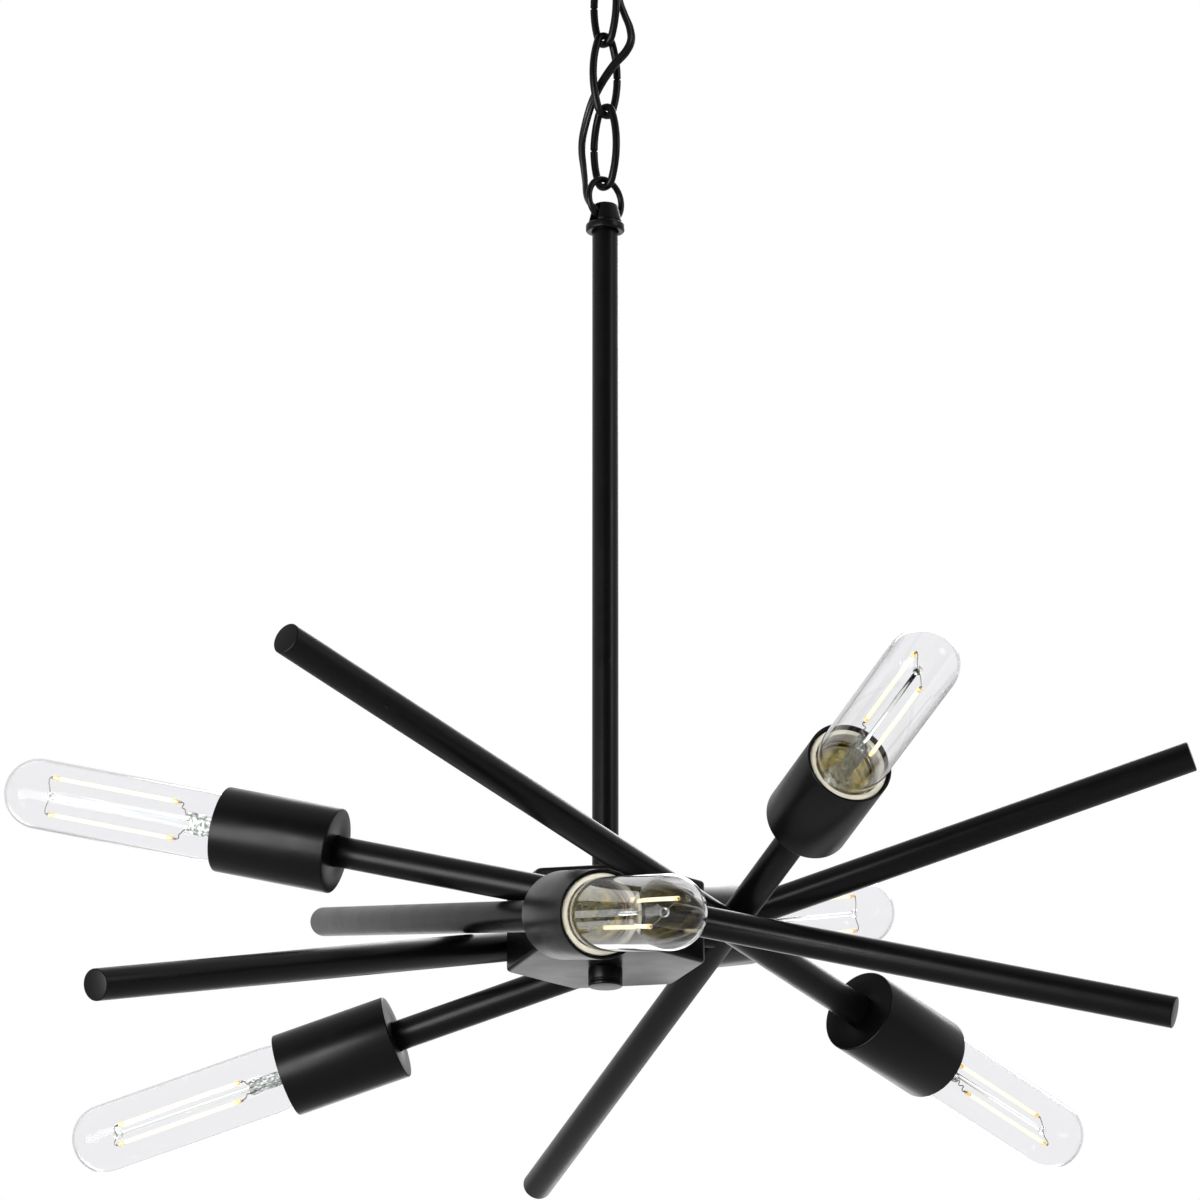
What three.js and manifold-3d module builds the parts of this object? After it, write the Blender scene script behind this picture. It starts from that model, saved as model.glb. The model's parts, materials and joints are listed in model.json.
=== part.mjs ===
// Sputnik chandelier in millimetres, +Z up, with its origin on the ceiling plane on the stem's axis.
// Six straight rods turn on the faces of a six-sided hub.
// Each has a lamp at one end and is closed at the other.
import * as THREE from "three";
import { mergeVertices } from "three/addons/utils/BufferGeometryUtils.js";
import Module from "manifold-3d";

const wasm = await Module();
wasm.setup();

// Fits: gap between seated pieces, radial play of a pin in its hole, overrun of a cut,
// and the welding distance
const seatGap = 0.3;
const play = 0.3;
const overrun = 2;
const weld = 0.001;
const tangentShare = 0.0001;

// Ceiling fitting
const canopyRadius = 60;
const canopyDepth = 22;
const canopyWall = 1.4;
const canopyRimHeight = 5;
const canopyFloorRadius = 38;
const strapClearance = 6.6;
const strapWidth = 22;
const strapThickness = 2.5;
const strapSlotLength = 16;
const strapSlotWidth = 5;
const strapSlotInset = 10;
const strapCorner = 5.5;
const collarRadius = 8;
const collarHeight = 14;
const collarChamfer = 1.8;
const collarGrooveDepth = 0.9;
const collarGrooveDrop = 2.7;
const nippleRadius = 5;
const cordBoreRadius = 3.4;
const loopRadius = 8;
const loopWire = 4;

// Chain and hanging ring
const linkWire = 3.8;
const linkLength = 45.3;
const linkWidth = 19.9;
const linkBendRadius = 5.2;
const ringWire = 3.1;
const ringRadius = 10.7;
const chainTurn = 42.8;

// Cord, as a plain tube of the flat cord's thickness
const cordThickness = 2.6;

// Stem cap
const capRingRise = 5.75;
const capFootRadius = 9.5;
const capFootHeight = 4;
const capFootEdge = 1;
const capWaistRadius = 7.7;
const capWaistHeight = 1.2;
const capConeRadius = 8.1;
const capTopRadius = 5.9;
const capHeight = 14.2;
const capBoreRadius = 5;
const capRoof = 2.7;
const ringSlotWidth = 4.4;
const ringSlotHeight = 6.9;
const cordSlotWidth = 5.6;
const cordSlotTop = 13.3;
const slotCorner = 1;

// Stem
const stemRadius = 6.35;
const stemWall = 1.2;
const stemReach = 329.5;
const stemSeat = 3.5;

// Hub and finial
const hubAcross = 84;
const hubHeight = 40;
const hubWall = 3;
const hubCornerRadius = 2.4;
const hubEdge = 1.8;
const hubStemBite = 9;
const finialRadius = 8.15;
const finialLength = 9.5;
const finialEdge = 0.8;
const finialStudRadius = 3;
const finialStudLength = 8;

// Arms
const armAzimuth = 258.325;
const armOffset = 58.87;
const rodRadius = 7.4;
const rodWall = 1.2;
const rodReach = 287.8;
const rodEdge = 0.6;
const standoffRadius = 6.25;
const spigotRadius = 4.4;
const spigotBore = 2.6;
const spigotInHub = 8;
const spigotInRod = 3;

// Lampholder
const cupRadius = 20.39;
const cupBack = 120.65;
const cupMouth = 178;
const cupWall = 1.2;
const cupFloor = 2.2;
const cupEdge = 0.8;
const rodInCup = 4.5;
const holderRadius = 18.6;
const holderBore = 15.9;
const holderRecess = 1.5;
const holderFloor = 13.35;
const contactRadius = 2.5;
const shellRadius = 14.35;
const shellWall = 0.5;
const shellLength = 30;
const shellFlangeBore = 6.5;

// Lamp
const baseRadius = 13.1;
const baseLength = 27;
const baseSkirt = 21;
const baseWall = 0.45;
const baseCement = 9;
const baseClearance = 1.2;
const buttonRadius = 4.2;
const buttonHeight = 1.6;
const insulatorRadius = 8.6;
const lampLength = 146;
const glassRadius = 16.9;
const glassWall = 0.9;
const neckRadius = 12.3;
const neckSink = 9;
const neckLength = 9.2;
const shoulderLength = 12.8;
const shoulderShare = 0.61;
const flareRadius = 6.2;
const flareLength = 14;
const pressWidth = 10.5;
const pressDepth = 3.2;
const pressLength = 22;
const lampRodRadius = 1;
const beadRadius = 2.2;
const filamentRadius = 1;
const filamentLength = 64;
const filamentSpread = 17.8;
const filamentTipGap = 23;
const leadRadius = 0.5;
const leadSpread = 3;

// Each arm in degrees: the rod's slope, its small turn off the hub's face and its lamp's turn.
// The lamp sits at the rod's lower end, 1, or at its upper end, -1.
const arms = [
  { slope: 13.86, skew: -0.93, lampTurn: 72, lampEnd: -1 },
  { slope: 14.5, skew: -0.21, lampTurn: 65, lampEnd: 1 },
  { slope: 13.73, skew: 0.58, lampTurn: 92, lampEnd: -1 },
  { slope: 17.1, skew: 0.16, lampTurn: -46, lampEnd: 1 },
  { slope: 13.68, skew: 0.17, lampTurn: 96, lampEnd: -1 },
  { slope: 12.52, skew: -0.04, lampTurn: 48, lampEnd: 1 },
];
const armStep = 360 / arms.length;

// Sides of the round pieces and steps along the curved ones
const canopySides = 24;
const canopyBendSteps = 3;
const strapHoleSides = 16;
const collarSides = 16;
const wireSides = 8;
const loopSteps = 16;
const ringSteps = 20;
const linkBendSteps = 6;
const linkLegSteps = 2;
const cordSides = 6;
const cordSteps = 42;
const capSides = 18;
const stemSides = 16;
const finialSides = 16;
const smallHoleSides = 12;
const standoffSides = 10;
const rodSides = 12;
const cupSides = 18;
const holderSides = 14;
const shellSides = 12;
const lampSides = 12;
const tipSteps = 4;
const tipInnerSteps = 2;
const footSides = 6;
const leadSides = 3;
const mountSides = 4;
const beadRows = 3;

// The cord's route from the canopy's collar to the cap.
// Each place is along the chain's plane, across it, and up from the ceiling.
const cordRoute = [
  [0, 0, -27],
  [0, 0, -32],
  [1.1, -0.4, -36.6],
  [3.4, -1.8, -41],
  [4.3, -3.3, -45],
  [4.3, -4.2, -49.5],
  [4.5, -4.5, -57],
  [5.2, -5.2, -65],
  [6.6, -7, -72],
  [8, -9.2, -79],
  [8.2, -10, -86],
  [6.2, -8.4, -92],
  [2.6, -4.6, -98],
  [-0.6, -0.8, -105],
  [-3, 2.5, -112],
  [-4.3, 5.6, -119],
  [-4.5, 9, -127],
  [-4.5, 11.6, -135],
  [-4.7, 11.8, -142],
  [-5.3, 10, -150],
  [-6.8, 7.2, -159],
  [-8.2, 5.1, -166.4],
  [-8.2, 3.3, -170.5],
  [-6.9, 1.2, -173.6],
  [-4.6, 0.4, -175],
  [-1.7, 0.3, -176],
];

// Heights of the hanging pieces, each found from the one that carries it
const loopZ = -canopyDepth - collarHeight + loopWire / 2 - loopRadius;
const linkReach = (linkLength - linkWire) / 2;
const linkCZ = loopZ - loopRadius + (loopWire + linkWire) / 2 + seatGap - linkReach;
const linkPitch = linkLength - 2 * linkWire - seatGap;
const linkBZ = linkCZ - linkPitch;
const linkAZ = linkBZ - linkPitch;
const ringZ = linkAZ - linkReach + (linkWire + ringWire) / 2 + seatGap - ringRadius;
const capZ = ringZ - ringRadius - capRingRise;
const hubZ = capZ - stemReach - hubHeight / 2;

// The strap reaches across the inside of the canopy
const strapLength = 2 * (canopyRadius - canopyWall - strapClearance);

// Lamp places along the rod
const holderTop = cupMouth - holderRecess;
const holderBase = cupBack + cupFloor + rodInCup + seatGap;
const shellBase = holderBase + holderFloor + seatGap;
const lampBase = shellBase + shellWall + baseClearance;
const lampTip = lampBase + lampLength;
const skirtTop = lampBase + baseLength;

const metal = { color: 0x1c1c1e, roughness: 0.45, metalness: 0.6 };
const steel = { color: 0x9a9b9d, roughness: 0.4, metalness: 0.9 };
const brass = { color: 0xb08d45, roughness: 0.35, metalness: 0.9 };
const ivory = { color: 0xe6dfc8, roughness: 0.7, metalness: 0 };
const flex = { color: 0x161616, roughness: 0.6, metalness: 0 };
const glass = { color: 0xf2f6f4, roughness: 0.05, metalness: 0, transparent: true, opacity: 0.3 };
const glow = { color: 0xffd9a0, roughness: 0.5, metalness: 0 };

const root = new THREE.Group();

function degrees(angle) {
  return THREE.MathUtils.degToRad(angle);
}

// A named piece of one finish in a group.
function piece(name, geometry, finish, group = root) {
  const mesh = new THREE.Mesh(geometry, new THREE.MeshStandardMaterial(finish));
  mesh.name = name;
  group.add(mesh);
  return mesh;
}

function solidOf(geometry) {
  const bare = new THREE.BufferGeometry();
  bare.setAttribute("position", geometry.getAttribute("position").clone());
  if (geometry.index) bare.setIndex(geometry.index.clone());
  const merged = mergeVertices(bare, weld);
  return new wasm.Manifold(
    new wasm.Mesh({
      numProp: 3,
      vertProperties: new Float32Array(merged.attributes.position.array),
      triVerts: new Uint32Array(merged.index.array),
    }),
  );
}

function geometryOf(solid) {
  const mesh = solid.getMesh();
  const geometry = new THREE.BufferGeometry();
  geometry.setAttribute("position", new THREE.BufferAttribute(mesh.vertProperties, mesh.numProp));
  geometry.setIndex(new THREE.BufferAttribute(mesh.triVerts, 1));
  geometry.computeVertexNormals();
  return geometry;
}

// The first shape with the others cut out of it.
function cut(geometry, ...tools) {
  const left = tools.reduce((solid, tool) => solid.subtract(solidOf(tool)), solidOf(geometry));
  return geometryOf(left);
}

// The shapes joined into one.
function join(...geometries) {
  return geometryOf(geometries.map(solidOf).reduce((solid, other) => solid.add(other)));
}

// A closed profile of [radius, height] pairs turned about the Y axis.
function turned(profile, sides) {
  const points = profile.map(([radius, height]) => new THREE.Vector2(radius, height));
  if (profile[0][0] > 0) points.push(points[0].clone());
  return new THREE.LatheGeometry(points, sides);
}

// The same about the Z axis.
function turnedUp(profile, sides) {
  return turned(profile, sides).rotateX(Math.PI / 2);
}

// A round bar between two heights on the Z axis.
function bar(radius, low, high, sides) {
  const shape = new THREE.CylinderGeometry(radius, radius, high - low, sides);
  return shape.rotateX(Math.PI / 2).translate(0, 0, (low + high) / 2);
}

// A round bar between two points.
function strut(from, to, radius, sides) {
  const start = new THREE.Vector3(...from);
  const along = new THREE.Vector3(...to).sub(start);
  const shape = new THREE.CylinderGeometry(radius, radius, along.length(), sides);
  const turn = new THREE.Quaternion().setFromUnitVectors(
    new THREE.Vector3(0, 1, 0),
    along.clone().normalize(),
  );
  const middle = start.addScaledVector(along, 1 / 2);
  return shape.applyQuaternion(turn).translate(middle.x, middle.y, middle.z);
}

function circle(radius, sides) {
  const shape = new THREE.Shape();
  for (let side = 0; side < sides; side++) {
    const angle = ((side + 1 / 2) * 2 * Math.PI) / sides;
    const point = [radius * Math.cos(angle), radius * Math.sin(angle)];
    if (side) shape.lineTo(...point);
    else shape.moveTo(...point);
  }
  shape.closePath();
  return shape;
}

// A path through given places, which keeps each of them as a step of the tube along it.
class Steps extends THREE.Curve {
  constructor(place) {
    super();
    this.place = place;
  }
  getPoint(share) {
    return this.place(share);
  }
  getPointAt(share) {
    return this.place(share);
  }
  getTangentAt(share) {
    const aside = this.place(share - tangentShare);
    return this.place(share + tangentShare).sub(aside).normalize();
  }
}

// A ring of round wire along a closed path: an extrusion without its two lids.
function wireLoop(place, radius, steps) {
  const tube = new THREE.ExtrudeGeometry(circle(radius, wireSides), {
    steps,
    extrudePath: new Steps(place),
  });
  const side = tube.groups[1];
  const positions = tube.getAttribute("position").array;
  const loop = new THREE.BufferGeometry();
  const kept = positions.slice(side.start * 3, (side.start + side.count) * 3);
  loop.setAttribute("position", new THREE.BufferAttribute(kept, 3));
  return geometryOf(solidOf(loop));
}

// A place on an oval in the XZ plane: two tight end bends joined by two long bowed legs.
// Each bend and each leg has steps of its own, in even shares of the whole path.
function ovalPlace(halfWidth, halfLength, bend, bendSteps, legSteps) {
  const rise = halfLength - bend;
  const legRadius = (halfWidth ** 2 + rise ** 2 - bend ** 2) / (2 * (halfWidth - bend));
  const legTurn = Math.atan2(rise, legRadius - halfWidth);
  const halfSteps = bendSteps + legSteps;
  return (share) => {
    const step = (((share % 1) + 1) % 1) * 2 * halfSteps;
    const side = step <= halfSteps ? 1 : -1;
    const inHalf = side > 0 ? step : step - halfSteps;
    if (inHalf <= bendSteps) {
      const bendTurn = Math.PI - 2 * legTurn;
      const angle = legTurn + (inHalf / bendSteps) * bendTurn;
      const across = bend * Math.cos(angle);
      return new THREE.Vector3(side * across, 0, side * (rise + bend * Math.sin(angle)));
    }
    const angle = Math.PI + legTurn * ((2 * (inHalf - bendSteps)) / legSteps - 1);
    const across = legRadius - halfWidth + legRadius * Math.cos(angle);
    return new THREE.Vector3(side * across, 0, side * legRadius * Math.sin(angle));
  };
}

function circlePlace(radius) {
  return (share) => {
    const angle = share * 2 * Math.PI;
    return new THREE.Vector3(radius * Math.cos(angle), 0, radius * Math.sin(angle));
  };
}

// A six-sided outline with rounded corners, its faces square to the arms.
function hexagon(apothem, corner) {
  const shape = new THREE.Shape();
  const reach = (apothem - corner) / Math.cos(Math.PI / 6);
  for (let side = 0; side < 6; side++) {
    const middle = degrees(armAzimuth) + ((side + 1 / 2) * Math.PI) / 3;
    shape.absarc(
      reach * Math.cos(middle),
      reach * Math.sin(middle),
      corner,
      middle - Math.PI / 6,
      middle + Math.PI / 6,
    );
  }
  shape.closePath();
  return shape;
}

// An upright slot outline with round corners, from a low to a high height.
function slotOutline(width, low, high, corner) {
  const half = width / 2 - corner;
  const shape = new THREE.Shape();
  shape.absarc(half, high - corner, corner, 0, Math.PI / 2);
  shape.absarc(-half, high - corner, corner, Math.PI / 2, Math.PI);
  shape.absarc(-half, low + corner, corner, Math.PI, (3 * Math.PI) / 2);
  shape.absarc(half, low + corner, corner, (3 * Math.PI) / 2, 2 * Math.PI);
  shape.closePath();
  return shape;
}

// Ceiling fitting

function canopy() {
  const inner = canopyRadius - canopyWall;
  const bend = canopyRadius - canopyFloorRadius;
  const drop = canopyDepth - canopyRimHeight;
  const profile = [[nippleRadius + play, -canopyDepth]];
  for (let step = 0; step <= canopyBendSteps; step++) {
    const angle = (step / canopyBendSteps) * (Math.PI / 2);
    profile.push([
      canopyFloorRadius + bend * Math.sin(angle),
      -canopyRimHeight - drop * Math.cos(angle),
    ]);
  }
  profile.push([canopyRadius, 0], [inner, 0]);
  for (let step = canopyBendSteps; step >= 0; step--) {
    const angle = (step / canopyBendSteps) * (Math.PI / 2);
    profile.push([
      canopyFloorRadius + (bend - canopyWall) * Math.sin(angle),
      -canopyRimHeight - (drop - canopyWall) * Math.cos(angle),
    ]);
  }
  profile.push([nippleRadius + play, canopyWall - canopyDepth]);
  return turnedUp(profile, canopySides);
}

function crossbar() {
  const plate = new THREE.Shape();
  const halfLength = strapLength / 2 - strapCorner;
  const halfWidth = strapWidth / 2 - strapCorner;
  plate.absarc(halfLength, halfWidth, strapCorner, 0, Math.PI / 2);
  plate.absarc(-halfLength, halfWidth, strapCorner, Math.PI / 2, Math.PI);
  plate.absarc(-halfLength, -halfWidth, strapCorner, Math.PI, (3 * Math.PI) / 2);
  plate.absarc(halfLength, -halfWidth, strapCorner, (3 * Math.PI) / 2, 2 * Math.PI);
  for (const side of [-1, 1]) {
    const slot = new THREE.Path();
    const half = (strapSlotLength - strapSlotWidth) / 2;
    const middle = side * (strapLength / 2 - strapSlotInset);
    slot.absarc(middle + half, 0, strapSlotWidth / 2, -Math.PI / 2, Math.PI / 2);
    slot.absarc(middle - half, 0, strapSlotWidth / 2, Math.PI / 2, (3 * Math.PI) / 2);
    plate.holes.push(slot);
  }
  const strap = new THREE.ExtrudeGeometry(plate, {
    depth: strapThickness,
    bevelEnabled: false,
    curveSegments: 2,
  });
  strap.translate(0, 0, -strapThickness);
  const hole = bar(nippleRadius + play, -strapThickness - overrun, overrun, strapHoleSides);
  return cut(strap, hole);
}

function canopyLoop() {
  const top = -seatGap;
  const seat = -canopyDepth - seatGap;
  const base = -canopyDepth - collarHeight;
  const groove = seat - collarGrooveDrop;
  const collar = turnedUp(
    [
      [cordBoreRadius, base],
      [collarRadius - collarChamfer, base],
      [collarRadius, base + collarChamfer],
      [collarRadius, groove - collarGrooveDepth],
      [collarRadius - collarGrooveDepth, groove],
      [collarRadius, groove + collarGrooveDepth],
      [collarRadius, seat],
      [nippleRadius, seat],
      [nippleRadius, top],
      [cordBoreRadius, top],
    ],
    collarSides,
  );
  const loop = wireLoop(circlePlace(loopRadius), loopWire / 2, loopSteps);
  loop.rotateZ(degrees(chainTurn)).translate(0, 0, loopZ);
  const bore = bar(cordBoreRadius, loopZ + loopRadius - loopWire, top + overrun, collarSides);
  return cut(join(collar, loop), bore);
}

// Chain and hanging ring

function link(turn, height) {
  const halfWidth = (linkWidth - linkWire) / 2;
  const halfLength = (linkLength - linkWire) / 2;
  const place = ovalPlace(halfWidth, halfLength, linkBendRadius, linkBendSteps, linkLegSteps);
  const loop = wireLoop(place, linkWire / 2, 2 * (linkBendSteps + linkLegSteps));
  return loop.rotateZ(degrees(turn)).translate(0, 0, height);
}

function hangRing() {
  const ring = wireLoop(circlePlace(ringRadius), ringWire / 2, ringSteps);
  return ring.rotateZ(degrees(chainTurn)).translate(0, 0, ringZ);
}

// Cord

function cordPath() {
  const turn = degrees(chainTurn);
  const across = turn + Math.PI / 2;
  const points = cordRoute.map(
    ([along, aside, height]) =>
      new THREE.Vector3(
        along * Math.cos(turn) + aside * Math.cos(across),
        along * Math.sin(turn) + aside * Math.sin(across),
        height,
      ),
  );
  return new THREE.CatmullRomCurve3(points, false, "centripetal");
}

function cord() {
  return new THREE.ExtrudeGeometry(circle(cordThickness / 2, cordSides), {
    steps: cordSteps,
    extrudePath: cordPath(),
  });
}

// Stem cap, stem, hub and finial

function stemCap() {
  const cone = capFootHeight + capWaistHeight;
  const seat = capRingRise - ringWire / 2 - seatGap;
  const body = turnedUp(
    [
      [stemRadius + play, 0],
      [capFootRadius - capFootEdge, 0],
      [capFootRadius, capFootEdge],
      [capFootRadius, capFootHeight - capFootEdge],
      [capFootRadius - capFootEdge, capFootHeight],
      [capWaistRadius, capFootHeight],
      [capWaistRadius, cone],
      [capConeRadius, cone],
      [capTopRadius, capHeight],
      [0, capHeight],
      [0, capHeight - capRoof],
      [capBoreRadius, capHeight - capRoof],
      [capBoreRadius, seat],
      [stemRadius + play, seat],
    ],
    capSides,
  ).rotateZ(degrees(chainTurn));
  const slot = (width, high, side) => {
    const block = new THREE.ExtrudeGeometry(slotOutline(width, seat, high, slotCorner), {
      depth: capConeRadius + overrun,
      bevelEnabled: false,
      curveSegments: 1,
    });
    const facing = degrees(chainTurn) + (side > 0 ? 0 : Math.PI);
    return block.rotateX(Math.PI / 2).rotateZ(facing + Math.PI / 2);
  };
  const ringSlot = slot(ringSlotWidth, seat + ringSlotHeight, 1);
  const cordSlot = slot(cordSlotWidth, cordSlotTop, -1);
  return cut(body, ringSlot, cordSlot).translate(0, 0, capZ);
}

function stem() {
  const top = capZ + stemSeat;
  const base = hubZ + hubHeight / 2 - hubStemBite;
  const inner = stemRadius - stemWall;
  return turnedUp(
    [
      [inner, base],
      [stemRadius, base],
      [stemRadius, top],
      [inner, top],
    ],
    stemSides,
  );
}

function hubShell() {
  const prism = (apothem, corner, height, edge) => {
    const shape = new THREE.ExtrudeGeometry(hexagon(apothem - edge, corner - edge), {
      depth: height - 2 * edge,
      bevelEnabled: edge > 0,
      bevelThickness: edge,
      bevelSize: edge,
      bevelSegments: 2,
      curveSegments: 1,
    });
    return shape.translate(0, 0, edge - height / 2);
  };
  const outside = prism(hubAcross / 2, hubCornerRadius, hubHeight, hubEdge);
  const inside = prism(hubAcross / 2 - hubWall, hubCornerRadius, hubHeight - 2 * hubWall, 0);
  const stemHole = bar(stemRadius + play, 0, hubHeight, stemSides);
  const studHole = bar(finialStudRadius + play, -hubHeight, 0, smallHoleSides);
  const spigotHoles = arms.map((arm, index) => {
    const radius = spigotRadius + play;
    const hole = new THREE.CylinderGeometry(radius, radius, hubWall + 2 * overrun, smallHoleSides);
    hole.rotateZ(-Math.PI / 2).translate((hubAcross - hubWall) / 2, 0, 0);
    return hole.rotateZ(degrees(armAzimuth + index * armStep + arm.skew));
  });
  return cut(outside, inside, stemHole, studHole, ...spigotHoles).translate(0, 0, hubZ);
}

function finial() {
  const top = hubZ - hubHeight / 2 - seatGap;
  const base = top - finialLength + seatGap;
  return turnedUp(
    [
      [0, base],
      [finialRadius - finialEdge, base],
      [finialRadius, base + finialEdge],
      [finialRadius, top],
      [finialStudRadius, top],
      [finialStudRadius, top + finialStudLength],
      [0, top + finialStudLength],
    ],
    finialSides,
  );
}

// One arm's pieces, in a frame with +X out of the hub's face and +Y along the rod

function standoff() {
  const face = hubAcross / 2 + seatGap;
  const rodSide = armOffset - rodRadius + spigotInRod;
  const spigot = turned(
    [
      [spigotBore, hubAcross / 2 - spigotInHub],
      [spigotRadius, hubAcross / 2 - spigotInHub],
      [spigotRadius, face],
      [standoffRadius, face],
      [standoffRadius, armOffset],
      [spigotBore, armOffset],
    ],
    standoffSides,
  ).rotateZ(-Math.PI / 2);
  const hollow = rodRadius + seatGap;
  const saddle = new THREE.CylinderGeometry(hollow, hollow, 2 * hollow, rodSides);
  const lip = turned(
    [
      [spigotBore, hubAcross / 2],
      [spigotRadius - play, hubAcross / 2],
      [spigotRadius - play, rodSide],
      [spigotBore, rodSide],
    ],
    standoffSides,
  ).rotateZ(-Math.PI / 2);
  return join(cut(spigot, saddle.translate(armOffset, 0, 0)), lip);
}

function rod() {
  const inner = rodRadius - rodWall;
  const end = cupBack + cupFloor + rodInCup;
  const tube = turned(
    [
      [0, -rodReach],
      [rodRadius - rodEdge, -rodReach],
      [rodRadius, rodEdge - rodReach],
      [rodRadius, end],
      [inner, end],
      [inner, rodWall - rodReach],
      [0, rodWall - rodReach],
    ],
    rodSides,
  );
  const depth = rodRadius + overrun;
  const hole = new THREE.CylinderGeometry(spigotRadius, spigotRadius, depth, smallHoleSides);
  return cut(tube, hole.rotateZ(Math.PI / 2).translate(-depth / 2, 0, 0));
}

function cup() {
  const inner = cupRadius - cupWall;
  return turned(
    [
      [rodRadius + play, cupBack],
      [cupRadius - cupEdge, cupBack],
      [cupRadius, cupBack + cupEdge],
      [cupRadius, cupMouth],
      [inner, cupMouth],
      [inner, cupBack + cupFloor],
      [rodRadius + play, cupBack + cupFloor],
    ],
    cupSides,
  );
}

function lampholder() {
  const floor = holderBase + holderFloor;
  return turned(
    [
      [0, holderBase],
      [holderRadius, holderBase],
      [holderRadius, holderTop],
      [holderBore, holderTop],
      [holderBore, floor],
      [contactRadius, floor],
      [contactRadius, lampBase - seatGap],
      [0, lampBase - seatGap],
    ],
    holderSides,
  );
}

function screwShell() {
  const inner = shellRadius - shellWall;
  return turned(
    [
      [shellFlangeBore, shellBase],
      [shellRadius, shellBase],
      [shellRadius, shellBase + shellLength],
      [inner, shellBase + shellLength],
      [inner, shellBase + shellWall],
      [shellFlangeBore, shellBase + shellWall],
    ],
    shellSides,
  );
}

function bulbBase() {
  const skirt = skirtTop - baseSkirt;
  const inner = baseRadius - baseWall;
  return turned(
    [
      [0, lampBase],
      [buttonRadius, lampBase],
      [buttonRadius, lampBase + buttonHeight],
      [insulatorRadius, lampBase + buttonHeight],
      [baseRadius, skirt],
      [baseRadius, skirtTop],
      [inner, skirtTop],
      [inner, skirt + baseCement],
      [0, skirt + baseCement],
    ],
    lampSides,
  );
}

// The glass: an open neck, a shoulder, a straight wall and a round tip.
function bulbGlass() {
  const neckEnd = skirtTop - neckSink;
  const shoulder = neckEnd + neckLength;
  const wall = shoulder + shoulderLength;
  const tipCentre = lampTip - glassRadius;
  const side = (offset, steps) => {
    const radius = glassRadius - offset;
    const middle = neckRadius - offset + shoulderShare * (glassRadius - neckRadius);
    const points = [[neckRadius - offset, shoulder], [middle, (shoulder + wall) / 2], [radius, wall]];
    for (let step = 0; step <= steps; step++) {
      const angle = (step / steps) * (Math.PI / 2);
      points.push([radius * Math.cos(angle), tipCentre + radius * Math.sin(angle)]);
    }
    points[points.length - 1][0] = 0;
    return points;
  };
  const outer = [[neckRadius, neckEnd], ...side(0, tipSteps)];
  const inner = [[neckRadius - glassWall, neckEnd], ...side(glassWall, tipInnerSteps)].reverse();
  return turned([...outer, ...inner], lampSides);
}

// The glass foot, its centre rod and bead, the two filaments and the wires that hold them.
function bulbFilament() {
  const foot = skirtTop - neckSink - seatGap;
  const pressBase = foot + flareLength;
  const pressTop = pressBase + pressLength;
  const far = lampTip - filamentTipGap;
  const near = far - filamentLength;
  const spread = filamentSpread / 2;
  const flare = turned(
    [
      [0, foot],
      [flareRadius, foot],
      [pressWidth / 2, pressBase],
      [0, pressBase],
    ],
    footSides,
  );
  const press = new THREE.BoxGeometry(pressWidth, pressLength + overrun, pressDepth);
  press.translate(0, pressBase + (pressLength - overrun) / 2, 0);
  const sunk = pressTop - overrun;
  const centre = strut([0, sunk, 0], [0, far, 0], lampRodRadius, mountSides);
  const bead = new THREE.SphereGeometry(beadRadius, mountSides, beadRows).translate(0, far, 0);
  const wires = [-1, 1].flatMap((side) => {
    const strip = [side * spread, near, 0];
    const end = [side * spread, far, 0];
    const inStrip = [side * spread, near + filamentRadius, 0];
    const inEnd = [side * spread, far - filamentRadius, 0];
    return [
      strut(strip, end, filamentRadius, mountSides),
      strut([side * leadSpread, sunk, 0], inStrip, leadRadius, leadSides),
      strut([0, far, 0], inEnd, leadRadius, leadSides),
    ];
  });
  return join(flare, press, centre, bead, ...wires);
}

piece("canopy", canopy(), metal);
piece("crossbar", crossbar(), steel);
piece("canopy_loop", canopyLoop(), metal);
piece("link_c", link(chainTurn + 90, linkCZ), metal);
piece("link_b", link(chainTurn, linkBZ), metal);
piece("link_a", link(chainTurn + 90, linkAZ), metal);
piece("hang_ring", hangRing(), metal);
piece("cord", cord(), flex);
piece("stem_cap", stemCap(), metal);
piece("stem", stem(), metal);
piece("hub_shell", hubShell(), metal);
piece("finial", finial(), metal);

arms.forEach((arm, index) => {
  const number = index + 1;
  const face = new THREE.Group();
  face.position.z = hubZ;
  face.rotation.z = degrees(armAzimuth + index * armStep + arm.skew);
  root.add(face);
  const slope = new THREE.Group();
  slope.rotation.x = degrees(-arm.slope);
  face.add(slope);
  const socket = new THREE.Group();
  socket.position.x = armOffset;
  socket.rotation.x = arm.lampEnd > 0 ? 0 : Math.PI;
  slope.add(socket);
  const lamp = new THREE.Group();
  lamp.rotation.y = degrees(arm.lampTurn);
  socket.add(lamp);
  piece(`standoff_${number}`, standoff(), metal, slope);
  piece(`rod_${number}`, rod(), metal, socket);
  piece(`cup_${number}`, cup(), metal, socket);
  piece(`lampholder_${number}`, lampholder(), ivory, socket);
  piece(`screw_shell_${number}`, screwShell(), brass, socket);
  piece(`bulb_base_${number}`, bulbBase(), brass, lamp);
  piece(`bulb_glass_${number}`, bulbGlass(), glass, lamp);
  piece(`bulb_filament_${number}`, bulbFilament(), glow, lamp);
});

export default root;
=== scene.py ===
"""The looks of a sputnik chandelier: six lamps on rods that turn on a hub, hung on a chain."""
import json
import math

import bmesh
import bpy
from bpy.props import FloatProperty, FloatVectorProperty, PointerProperty
from mathutils import Matrix, Vector


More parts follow.
